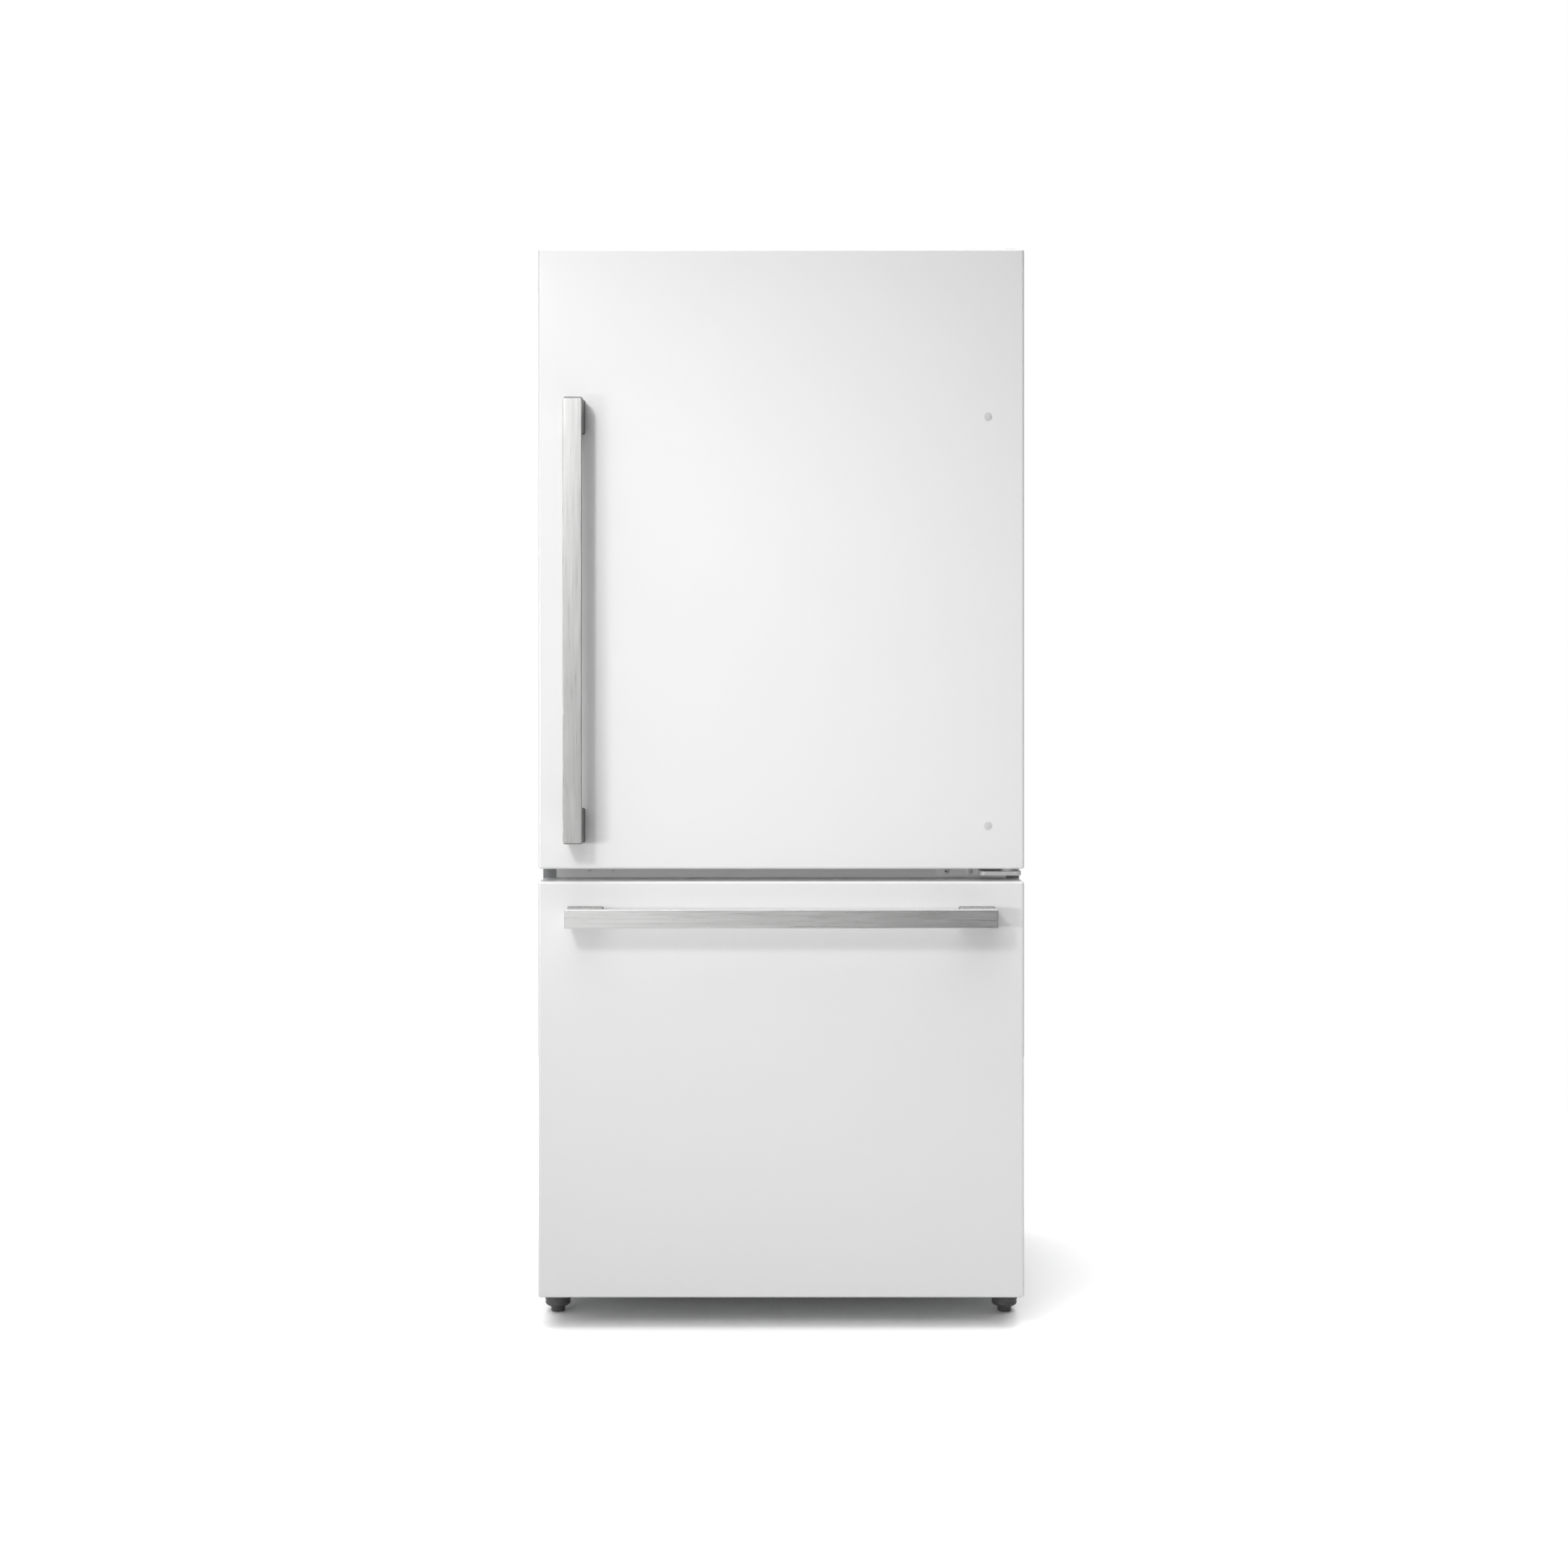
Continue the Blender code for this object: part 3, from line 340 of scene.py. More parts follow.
def make_materials():
    return {
        "white": white_paint(),
        "cabinet": pebbled_paint("grey_cabinet_paint", (0.205, 0.208, 0.212), 0.46),
        "rail": smooth_paint("grey_rail_paint", (0.74, 0.74, 0.74), 0.42),
        "black": smooth_paint("black_paint", (0.028, 0.028, 0.03), 0.38),
        "steel_z": brushed("brushed_steel_upright", 2, (0.565, 0.565, 0.56)),
        # Same brushed steel as the upright bar, with its colour raised to 0.86 as a painted highlight for
        # the bright overhead light that the level bar reflects.
        "steel_x_painted_highlight": brushed("brushed_steel_level_painted_highlight", 0, (0.86, 0.86, 0.855), 0.25, 0.36),
        # Same steel as the level handle's posts, darkened to 0.25 as painted shade, so the upright posts'
        # sides and top rims read as dark lines.
        "post_z_painted_shade": brushed("steel_posts_painted_shade", 1, (0.25, 0.25, 0.25), 0.30, 0.42),
        "post_x": brushed("light_steel_posts", 1, (0.56, 0.56, 0.555), 0.22, 0.34),
        "zinc": zinc_plate(),
        "hinge": smooth_paint("hinge_paint", (0.82, 0.82, 0.82), 0.36),
        "liner": smooth_paint("white_liner", (0.84, 0.85, 0.85), 0.42),
        "trim": moulded("white_trim", (0.82, 0.83, 0.835), 0.36),
        "cover": moulded("grey_cover", (0.23, 0.233, 0.238), 0.52, 1100.0, 0.18),
        "dark": moulded("dark_plastic", (0.055, 0.055, 0.058), 0.48, 900.0, 0.14),
        "foot": moulded("foot_plastic", (0.105, 0.105, 0.107), 0.34, 700.0, 0.10),
        "foil": moulded("rail_plug", (0.66, 0.66, 0.66), 0.42),
        "plug": moulded("grey_plug", (0.62, 0.62, 0.62), 0.42),
        "basket": moulded("frosted_basket", (0.80, 0.83, 0.855), 0.34, 300.0, 0.08),
        "clear": see_through("clear_bin", (0.80, 0.86, 0.88), 0.10, 0.30),
        "crisper": see_through("clear_crisper", (0.78, 0.84, 0.865), 0.14, 0.38),
        "lens": moulded("light_lens", (0.93, 0.94, 0.95), 0.32, 900.0, 0.10),
        "glass": see_through("shelf_glass_pane", (0.62, 0.80, 0.75), 0.05, 0.26, 9.0),
        "gasket": soft_rubber("door_seal", (0.50, 0.50, 0.505)),
        "rubber": soft_rubber("black_rubber", (0.03, 0.03, 0.03)),
        "copper": copper(),
        "fins": fins(),
        "foam": foam(),
        "floor": floor_paint(),
    }


# ---------------------------------------------------------------- mesh tools
def block(x, y, z, radius=0.0, segments=4, chosen=None):
    """Box between the pairs x, y and z; the chosen edges, or all of them, are rounded."""
    bm = bmesh.new()
    bmesh.ops.create_cube(bm, size=1.0)
    for vert in bm.verts:
        vert.co = Vector((x[vert.co.x > 0], y[vert.co.y > 0], z[vert.co.z > 0]))
    if radius:
        edges = [edge for edge in bm.edges if chosen is None or chosen(edge)]
        bmesh.ops.bevel(bm, geom=edges, offset=radius, segments=segments, profile=0.5, affect="EDGES")
    return bm


def along(axis):
    def test(edge):
        run = edge.verts[1].co - edge.verts[0].co
        return abs(run[axis]) > 0.9 * run.length
    return test


def on_face(axis, value):
    def test(edge):
        return all(abs(vert.co[axis] - value) < 1e-6 for vert in edge.verts)
    return test


def either(*tests):
    return lambda edge: any(test(edge) for test in tests)


def turned(profile, centre=(0, 0, 0), direction=(0, 0, 1), sides=40):
    """Solid of revolution about a direction; the profile is a list of (radius, height)."""
    bm = bmesh.new()
    turn = Vector((0, 0, 1)).rotation_difference(Vector(direction)).to_matrix()
    rings = []
    for radius, height in profile:
        steps = 1 if radius == 0.0 else sides
        ring = []
        for step in range(steps):
            angle = 2 * math.pi * step / sides
            spot = Vector((radius * math.cos(angle), radius * math.sin(angle), height))
            ring.append(bm.verts.new(turn @ spot + Vector(centre)))
        rings.append(ring)
    for low, high in zip(rings, rings[1:]):
        for i in range(sides):
            j = (i + 1) % sides
            corners = [low[i % len(low)], low[j % len(low)], high[j % len(high)], high[i % len(high)]]
            bm.faces.new(list(dict.fromkeys(corners)))
    for ring in (rings[0], rings[-1]):
        if len(ring) > 1:
            bm.faces.new(ring)
    bmesh.ops.recalc_face_normals(bm, faces=bm.faces)
    return bm


def spaced(start, pitch, count):
    """Evenly spaced places: the first one, the step between them, and how many there are."""
    return [start + index * pitch for index in range(count)]


def in_mm(*points):
    """A profile given in millimetres, as metres."""
    return [(a * MM, b * MM) for a, b in points]


def joined(parts):
    """Several bmeshes as one, each kept as its own closed body."""
    whole = bmesh.new()
    for part in parts:
        mesh = bpy.data.meshes.new("part")
        part.to_mesh(mesh)
        part.free()
        whole.from_mesh(mesh)
        bpy.data.meshes.remove(mesh)
    return whole


def moved(bm, matrix):
    bmesh.ops.transform(bm, matrix=matrix, verts=bm.verts)
    return bm


def rounded_loop(x, z, radius):
    """Points of a rectangle with rounded corners in the XZ plane, counter-clockwise."""
    steps = 6
    points = []
    corners = [(x[1] - radius, z[0] + radius, -90), (x[1] - radius, z[1] - radius, 0),
               (x[0] + radius, z[1] - radius, 90), (x[0] + radius, z[0] + radius, 180)]
    for cx, cz, start in corners:
        for step in range(steps + 1):
            angle = math.radians(start + 90 * step / steps)
            points.append((cx + radius * math.cos(angle), cz + radius * math.sin(angle)))
    return points


def frame_sweep(x, z, profile, radius):
    """Closed ring with a closed profile of (inset, y) points, swept round a rounded rectangle."""
    bm = bmesh.new()
    loops = []
    for inset, y in profile:
        corner = max(radius - inset, 0.0006)
        spots = rounded_loop((x[0] + inset, x[1] - inset), (z[0] + inset, z[1] - inset), corner)
        loops.append([bm.verts.new((px, y, pz)) for px, pz in spots])
    count = len(loops[0])
    for k, loop in enumerate(loops):
        after = loops[(k + 1) % len(loops)]
        for i in range(count):
            j = (i + 1) % count
            bm.faces.new((loop[i], loop[j], after[j], after[i]))
    bmesh.ops.recalc_face_normals(bm, faces=bm.faces)
    return bm


def tube(points, radius):
    """Round tube along a polyline, with mitred joints and capped ends."""
    sides = 12
    bm = bmesh.new()
    spots = [Vector(p) for p in points]
    last = len(spots) - 1
    normal = None
    rings = []
    for i, spot in enumerate(spots):
        tangent = (spots[min(i + 1, last)] - spots[max(i - 1, 0)]).normalized()
        if normal is None:
            helper = Vector((0, 0, 1)) if abs(tangent.z) < 0.9 else Vector((1, 0, 0))
            normal = tangent.cross(helper).normalized()
        normal = (normal - tangent * normal.dot(tangent)).normalized()
        side = tangent.cross(normal)
        ring = []
        for k in range(sides):
            angle = 2 * math.pi * k / sides
            ring.append(bm.verts.new(spot + radius * (math.cos(angle) * normal + math.sin(angle) * side)))
        rings.append(ring)
    for low, high in zip(rings, rings[1:]):
        for k in range(sides):
            j = (k + 1) % sides
            bm.faces.new((low[k], low[j], high[j], high[k]))
    bm.faces.new(rings[0])
    bm.faces.new(rings[-1])
    bmesh.ops.recalc_face_normals(bm, faces=bm.faces)
    return bm


def weight_normals(obj):
    """Let the large flat faces keep flat shading, so that only the small rounded edges turn."""
    modifier = obj.modifiers.new("normals", "WEIGHTED_NORMAL")
    modifier.keep_sharp = True
    graph = bpy.context.evaluated_depsgraph_get()
    settled = bpy.data.meshes.new_from_object(obj.evaluated_get(graph))
    obj.modifiers.clear()
    obj.data = settled


def piece(name, bm, mat, body, replaces=(), smooth=35.0):
    """A finished visual piece: mesh, shading, material, the body it rides on and what it stands for."""
    mesh = bpy.data.meshes.new(name)
    bm.to_mesh(mesh)
    bm.free()
    mesh.materials.append(mat)
    mesh.shade_smooth()
    mesh.set_sharp_from_angle(angle=math.radians(smooth))
    obj = bpy.data.objects.new(name, mesh)
    bpy.context.scene.collection.objects.link(obj)
    weight_normals(obj)
    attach(obj, body)
    if replaces:
        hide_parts(*replaces)


def cut_out(bm, tools):
    """The bmesh less every tool solid, with exact Booleans."""
    mesh = bpy.data.meshes.new("whole")
    bm.to_mesh(mesh)
    bm.free()
    whole = bpy.data.objects.new("whole", mesh)
    bpy.context.scene.collection.objects.link(whole)
    for tool_bm in tools:
        tool_mesh = bpy.data.meshes.new("tool")
        tool_bm.to_mesh(tool_mesh)
        tool_bm.free()
        tool = bpy.data.objects.new("tool", tool_mesh)
        bpy.context.scene.collection.objects.link(tool)
        modifier = whole.modifiers.new("cut", "BOOLEAN")
        modifier.operation = "DIFFERENCE"
        modifier.solver = "EXACT"
        modifier.object = tool
        graph = bpy.context.evaluated_depsgraph_get()
        result = bpy.data.meshes.new_from_object(whole.evaluated_get(graph))
        whole.modifiers.clear()
        whole.data = result
        bpy.data.objects.remove(tool, do_unlink=True)
    out = bmesh.new()
    out.from_mesh(whole.data)
    bpy.data.objects.remove(whole, do_unlink=True)
    return out


def node_body(node):
    return NODES[node]["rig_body"]


def clean_copy(node):
    """The CAD node's own shape, welded and with its flat faces merged, ready for finer edges."""
    bm = bmesh.new()
    bm.from_mesh(NODES[node].data)
    bmesh.ops.remove_doubles(bm, verts=bm.verts, dist=2e-6)
    bmesh.ops.dissolve_limit(bm, angle_limit=math.radians(0.5), verts=bm.verts, edges=bm.edges)
    return bm


def softened(node, mat, width, segments=2, angle=40.0):
    """Stands for a CAD node with the same shape and small rounded edges."""
    bm = clean_copy(node)
    limit = math.radians(angle)
    edges = [edge for edge in bm.edges if edge.is_manifold and edge.calc_face_angle(0.0) > limit]
    bmesh.ops.bevel(bm, geom=edges, offset=width, segments=segments, profile=0.5, affect="EDGES",
                    clamp_overlap=True)
    piece(node + "_finished", bm, mat, node_body(node), (node,))


def refined(node, mat):
    """Stands for a CAD node with the same shape, shaded smooth over its rounded parts."""
    piece(node + "_finished", clean_copy(node), mat, node_body(node), (node,), 38.0)


def paint(node, mat):
    """Give a CAD node that stays visible its material."""
    mesh = NODES[node].data
    mesh.materials.clear()
    mesh.materials.append(mat)


# ---------------------------------------------------------------- fasteners
def screw_shape(radius):
    """Pan-head screw with a cross recess; the head rises along +Z from the origin."""
    shares = [(0.0, -0.4), (1.0, -0.4), (1.0, 0.12), (0.93, 0.30), (0.74, 0.46), (0.4, 0.53), (0.0, 0.55)]
    head = turned([(out * radius, up * radius) for out, up in shares], sides=28)
    long, narrow = (-0.55 * radius, 0.55 * radius), (-0.11 * radius, 0.11 * radius)
    deep = (0.15 * radius, radius)
    return cut_out(head, [block(long, narrow, deep), block(narrow, long, deep)])


def screws(name, spots, direction, radius, mat, body):
    """A group of like screws, each head standing out along the direction."""
    shape = screw_shape(radius)
    turn = Vector((0, 0, 1)).rotation_difference(Vector(direction)).to_matrix().to_4x4()
    parts = []
    for index, spot in enumerate(spots):
        spin = Matrix.Rotation(0.9 * index, 4, "Z")
        parts.append(moved(shape.copy(), Matrix.Translation(Vector(spot)) @ turn @ spin))
    shape.free()
    piece(name, joined(parts), mat, body)


# ---------------------------------------------------------------- door and drawer fronts
def front_panel(node, mats, pins):
    """Folded steel front: a thin-walled pan with smoothly rounded front edges, less its pin holes."""
    low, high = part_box(node)
    x, y, z = (low.x, high.x), (low.y, high.y), (low.z, high.z)
    shell = block(x, y, z, PANEL_EDGE, 8, either(on_face(1, y[0]), along(1)))
    inner_x = (x[0] + PANEL_WALL, x[1] - PANEL_WALL)
    inner_z = (z[0] + PANEL_WALL, z[1] - PANEL_WALL)
    inner_y = (y[0] + PANEL_WALL, y[1] + 50 * MM)
    rounded = either(on_face(1, inner_y[0]), along(1))
    inner = block(inner_x, inner_y, inner_z, PANEL_EDGE - PANEL_WALL, 8, rounded)
    shell = cut_out(shell, [inner, *pins])
    piece(node + "_finished", shell, mats["white"], node_body(node), (node,), 50.0)


def fronts(mats):
    pin_x, pin_y = hinge_axis()
    low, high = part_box("door_skin")
    pins = [turned([(PIN_HOLE, -0.01), (PIN_HOLE, 0.01)], (pin_x, pin_y, z)) for z in (low.z, high.z)]
    front_panel("door_skin", mats, pins)
    front_panel("drawer_skin", mats, [])


def handle(bar_node, posts, axis, mats):
    """Flat brushed bar on two block posts. axis is 0 for a level handle and 2 for an upright one."""
    low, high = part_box(bar_node)
    reach = [(low[i], high[i]) for i in range(3)]
    if axis == 2:
        reach[2] = (low.z + 2.6 * MM, high.z - 4.0 * MM)
    body = node_body(bar_node)
    # The level bar's brighter steel colour is a painted highlight.
    steel = mats["steel_z"] if axis == 2 else mats["steel_x_painted_highlight"]
    piece(bar_node + "_finished", block(*reach, 0.9 * MM, 3), steel, body, (bar_node,))
    middle = 0.5 * (low[axis] + high[axis])
    for node in posts:
        handle_post(node, axis, middle, mats)


def handle_post(node, axis, middle, mats):
    """One post, a little shorter than its node on the side of the bar's middle, and the dark pad behind it,
    whose rim is a painted shade line where the post meets the door.
    """
    low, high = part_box(node)
    x, z = [low.x, high.x], [low.z, high.z]
    length = z if axis == 2 else x
    if length[0] > middle:
        length[0] += POST_TRIM[axis]
    else:
        length[1] -= POST_TRIM[axis]
    if axis == 0:
        z = [z[0] + 0.9 * MM, z[1] - 0.9 * MM]
    post = block(x, (low.y, high.y), z, POST_CORNER, 5, along(1))
    rims = [edge for edge in post.edges if edge.is_manifold and edge.calc_face_angle(0.0) > math.radians(60)]
    bmesh.ops.bevel(post, geom=rims, offset=0.5 * MM, segments=2, profile=0.5, affect="EDGES")
    # The upright posts' darker steel is painted shade.
    finish = mats["post_z_painted_shade"] if axis == 2 else mats["post_x"]
    piece(node + "_finished", post, finish, node_body(node), (node,))
    # The dark pad stands 0.5 mm proud of the post all round: a dark rim painted as the shade where the post
    # meets the door.
    pad_x = (x[0] - PAD_MARGIN, x[1] + PAD_MARGIN)
    pad_z = (z[0] - PAD_MARGIN, z[1] + PAD_MARGIN)
    pad = block(pad_x, (high.y - 0.5 * MM, high.y + 0.2 * MM), pad_z, 2.4 * MM, 4, along(1))
    piece(node + "_pad_with_painted_shade", pad, mats["dark"], node_body(node))


def door_plugs(mats):
    """Two round caps over the spare handle holes, on the hinge side."""
    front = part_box("door_skin")[0].y
    low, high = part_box("door_handle_bar")
    profile = in_mm((0.0, -0.6), (6.5, -0.6), (6.5, 0.35), (6.1, 0.75), (4.5, 0.95), (0.0, 1.05))
    heights = (low.z + CAP_INSET + 1.5 * MM, high.z - CAP_INSET)
    parts = [turned(profile, (CAP_X, front, z), (0, -1, 0)) for z in heights]
    piece("door_hole_plugs", joined(parts), mats["plug"], "fridge_door")


def seal_profile(y_door, y_cabinet):
    """Closed section of a bellows seal with a magnet block: (inset from the outer edge, y)."""
    depth = y_cabinet - y_door
    shape = [(2.0, 0.0), (17.0, 0.0), (17.6, 0.13), (14.5, 0.26), (17.6, 0.40), (15.0, 0.53), (18.4, 0.62),
             (18.8, 0.94), (18.0, 1.0), (2.0, 1.0), (0.7, 0.93), (1.2, 0.60), (4.4, 0.52), (1.4, 0.38),
             (4.4, 0.25), (1.2, 0.12)]
    return [(inset * MM, y_door + share * depth) for inset, share in shape]


def seals(mats):
    for node in ("door_gasket", "drawer_gasket"):
        low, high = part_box(node)
        ring = frame_sweep((low.x, high.x), (low.z, high.z), seal_profile(low.y, high.y), 6 * MM)
        piece(node + "_finished", ring, mats["gasket"], node_body(node), (node,), 25.0)


# ---------------------------------------------------------------- hinges, rail and feet
def rail_details(mats):
    """Hole plugs, a dark disc painted as the shade inside a small hole, and the bright end edges of the
    cross rail.
    """
    low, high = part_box("mullion_rail")
    front = low.y
    plug = in_mm((0.0, -0.4), (4.6, -0.4), (4.6, 0.3), (3.8, 0.8), (0.0, 1.0))
    parts = [turned(plug, (x, front, RAIL_PLUG_Z), (0, -1, 0)) for x in RAIL_PLUG_X]
    piece("rail_hole_plugs", joined(parts), mats["foil"], "cabinet")
    # The small hole is a dark disc on the rail's face: painted shade inside the hole.
    profile = in_mm((0.0, -0.3), (1.9, -0.3), (1.9, 0.12), (0.0, 0.12))
    hole = turned(profile, (RAIL_HOLE[0], front, RAIL_HOLE[1]), (0, -1, 0), 20)
    piece("rail_hole_painted_shade", hole, mats["dark"], "cabinet")
    edges = []
    for side in (-1, 1):
        x = sorted((side * high.x, side * (high.x - 1.2 * MM)))
        edges.append(block(x, (front - 0.5 * MM, front + 0.2 * MM), (low.z, high.z), 0.2 * MM, 2))
    piece("rail_end_edges", joined(edges), mats["trim"], "cabinet")


def hinge_details(mats):
    """The middle hinge with its screws and washers, a dark disc painted as the shade in the first screw's
    recess, and the nylon washer on its pin.
    """
    softened("middle_hinge", mats["hinge"], 0.5 * MM, 2, 50.0)
    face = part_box("mullion_rail")[0].y - HINGE_THICKNESS
    spots = [(x, face, HINGE_SCREW_Z) for x in HINGE_SCREW_X]
    washer = in_mm((0.0, -0.3), (6.2, -0.3), (6.2, 0.5), (5.6, 0.9), (0.0, 0.9))
    washers = joined([turned(washer, spot, (0, -1, 0)) for spot in spots])
    piece("middle_hinge_washers", washers, mats["hinge"], "cabinet")
    heads = [(x, y - 0.9 * MM, z) for x, y, z in spots]
    screws("middle_hinge_screws", heads, (0, -1, 0), 4.2 * MM, mats["hinge"], "cabinet")
    # A dark disc in the first screw's cross recess: painted shade.
    x, y, z = heads[0]
    recess = in_mm((0.0, 0.0), (1.7, 0.0), (1.7, 0.7), (0.0, 0.7))
    socket = turned(recess, (x, y - 1.8 * MM, z), (0, -1, 0), 20)
    piece("middle_hinge_screw_recess_painted_shade", socket, mats["dark"], "cabinet")
    ring = in_mm((5.2, 0.0), (10.8, 0.0), (11.2, 0.4), (11.2, 1.6), (10.6, 2.0), (5.2, 2.0))
    pin_x, pin_y = hinge_axis()
    bore = turned([(9.2 * MM, -0.01), (9.2 * MM, 0.01)], (pin_x, pin_y, COLLAR_Z + 0.8 * MM))
    collar = cut_out(turned(ring, (pin_x, pin_y, COLLAR_Z)), [bore])
    piece("hinge_pin_washer", collar, mats["trim"], "cabinet")


def hinge_axis():
    """Where the door's hinge axis stands, in x and y."""
    joints = {joint["name"]: joint for joint in frame["record"]["behaviour"]["joints"]}
    return joints["fridge_door_hinge"]["pos_m"][:2]


def foot_shape(centre):
    """Levelling foot: a round pad, a cup with a rolled lower edge and grip notches, and its stem."""
    sole = in_mm((0.0, 0.0), (9.4, 0.0), (10.6, 0.5), (11.2, 1.8), (11.5, 6), (11.7, 10.6), (0.0, 10.6))
    pad = turned(sole, centre, sides=48)
    edge = []
    for step in range(9):
        angle = math.radians(-90 + 90 * step / 8)
        edge.append((13.6 * MM + 7.4 * MM * math.cos(angle), 15.6 * MM + 5.4 * MM * math.sin(angle)))
    bottom = in_mm((0.0, 10.2), (12.6, 10.2))
    bead = in_mm((20.4, 17.0), (20.4, 20.0), (21.2, 20.6))
    top = in_mm((21.2, 36.5), (20.6, 37.8), (19.4, 38.4), (0.0, 38.4))
    cup = turned([*bottom, *edge, *bead, *top], centre, sides=64)
    grooves = []
    for index in range(16):
        angle = 2 * math.pi * index / 16
        groove = turned(in_mm((1.2, 23), (1.2, 45)), sides=10)
        offset = Vector(centre) + 21.9 * MM * Vector((math.cos(angle), math.sin(angle), 0))
        grooves.append(moved(groove, Matrix.Translation(offset)))
    cup = cut_out(cup, [joined(grooves)])
    stem = turned(in_mm((5.4, 38), (5.4, 49.6)), centre, sides=32)
    return joined([pad, cup, stem])


def feet(mats):
    for side in ("left", "right"):
        node = "front_foot_" + side
        low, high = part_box(node)
        centre = (0.5 * (low.x + high.x), 0.5 * (low.y + high.y), 0.0)
        piece(node + "_finished", foot_shape(centre), mats["foot"], node, (node,))


# ---------------------------------------------------------------- inside the fridge
def shelf(node, name, mats, partition=False):
    """Toughened glass pane in a moulded frame: front rim, side strips and a rear stop. The crisper
    cover also has a partition below it, between the two crispers."""
    low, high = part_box(node)
    level = SHELF_TOP[node]
    half = high.x - 0.5 * MM
    pane_z = (level + 0.6 * MM, level + 4.2 * MM)
    glass = block((-half + 2 * MM, half - 2 * MM), GLASS_Y, pane_z, 0.5 * MM, 2)
    piece(name + "_glass", glass, mats["glass"], "cabinet", (node,))
    rim_low = level - (0.8 if partition else 7.6) * MM
    rim_y = (low.y + 0.4 * MM, GLASS_Y[0] + 3 * MM)
    parts = [block((-half, half), rim_y, (rim_low, level + 6.6 * MM), 3.2 * MM, 5, along(0))]
    for side in (-1, 1):
        x = sorted((side * half, side * (half - 7 * MM)))
        strip_y = (GLASS_Y[0] + 3.5 * MM, GLASS_Y[1] - 5 * MM)
        parts.append(block(x, strip_y, (level - 0.1 * MM, level + 5.6 * MM), 1.0 * MM, 3))
    stop_y = (GLASS_Y[1] - 4.5 * MM, GLASS_Y[1] + 3.5 * MM)
    stop_z = (level + 0.5 * MM, level + (6.0 if partition else 15.6) * MM)
    parts.append(block((-half, half), stop_y, stop_z, 1.5 * MM, 3))
    if partition:
        parts.append(block((-2.7 * MM, 2.7 * MM), (-0.100, 0.288), (low.z + 0.3 * MM, level), 1.0 * MM, 2))
    piece(name + "_frame", joined(parts), mats["trim"], "cabinet")


def interior(mats):
    shelf("crisper_cover", "crisper_cover", mats, True)
    shelf("shelf_lower", "lower_shelf", mats)
    shelf("shelf_upper", "upper_shelf", mats)
    ceiling_light(mats)
    softened("air_duct", mats["trim"], 1.2 * MM, 3)
    softened("control_panel", mats["trim"], 0.8 * MM, 2, 50.0)
    control_keys(mats)


def ceiling_light(mats):
    """Lens of the ceiling light, with fine ribs across it."""
    face = CEILING - 9 * MM
    rounded = either(on_face(2, face), along(2))
    parts = [block(LENS_X, LENS_Y, (face, CEILING - 0.4 * MM), 5 * MM, 5, rounded)]
    rib_y = (LENS_Y[0] + 8 * MM, LENS_Y[1] - 8 * MM)
    rib_z = (face - 0.6 * MM, face + 0.4 * MM)
    for x in spaced(-0.126, 0.012, 22):
        parts.append(block((x - 0.8 * MM, x + 0.8 * MM), rib_y, rib_z, 0.3 * MM, 1))
    piece("ceiling_light_lens", joined(parts), mats["lens"], "cabinet")


def control_keys(mats):
    """Five touch keys under the control panel, each with a mark behind it."""
    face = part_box("control_panel")[0].z
    profile = in_mm((0.0, -0.2), (7, -0.2), (7, 0.3), (6.4, 0.7), (0.0, 0.8))
    keys = []
    mark_z = (face - 0.4 * MM, face + 0.2 * MM)
    for x in spaced(-0.080, 0.040, 5):
        keys.append(turned(profile, (x, KEY_Y, face), DOWN, 32))
        keys.append(block((x - 5 * MM, x + 5 * MM), KEY_MARK_Y, mark_z, 0.15 * MM, 1))
    piece("control_keys", joined(keys), mats["plug"], "cabinet")


def crispers(mats):
    for side in ("left", "right"):
        node = "crisper_" + side
        softened(node, mats["crisper"], 0.5 * MM, 2, 60.0)
        low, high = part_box(node)
        front = low.y + 6 * MM
        band = block((low.x + 2 * MM, high.x - 2 * MM), (front - 1.2 * MM, front - 0.3 * MM),
                     (high.z - 30 * MM, high.z - 24 * MM), 0.4 * MM, 2)
        piece(node + "_front_band", band, mats["trim"], node)


def door_storage(mats):
    for node in ("door_bin_lower", "door_bin_upper", "dairy_bin"):
        softened(node, mats["clear"], 0.6 * MM, 2, 60.0)
        low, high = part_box(node)
        strip = block((low.x + 6 * MM, high.x - 6 * MM), (high.y - 0.6 * MM, high.y + 1.6 * MM),
                      (high.z - 12 * MM, high.z - 1 * MM), 0.9 * MM, 3)
        piece(node + "_trim", strip, mats["trim"], "fridge_door")
    softened("dairy_lid", mats["crisper"], 0.5 * MM, 2, 60.0)


def basket_ribs(mats):
    """Upright stiffening ribs on the sides and the back of the freezer basket."""
    low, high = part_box("freezer_basket")
    z = (low.z + 16 * MM, high.z - 30 * MM)
    ribs = []
    for side in (-1, 1):
        x = sorted((side * (BASKET_WALL_X - 0.5 * MM), side * (BASKET_WALL_X + 3.2 * MM)))
        for y in spaced(low.y + 0.045, 0.042, 7):
            ribs.append(block(x, (y - 1.5 * MM, y + 1.5 * MM), z, 0.7 * MM, 2))
    y = (BASKET_BACK_Y, BASKET_BACK_Y + 3.5 * MM)
    for x in spaced(-0.264, 0.044, 13):
        ribs.append(block((x - 1.5 * MM, x + 1.5 * MM), y, z, 0.7 * MM, 2))
    piece("freezer_basket_ribs", joined(ribs), mats["basket"], node_body("freezer_basket"))


def freezer(mats):
    basket_ribs(mats)
    softened("freezer_basket", mats["basket"], 0.6 * MM, 2, 60.0)
    softened("freezer_tray", mats["basket"], 0.6 * MM, 2, 60.0)
    softened("evaporator_cover", mats["liner"], 0.3 * MM, 1, 60.0)


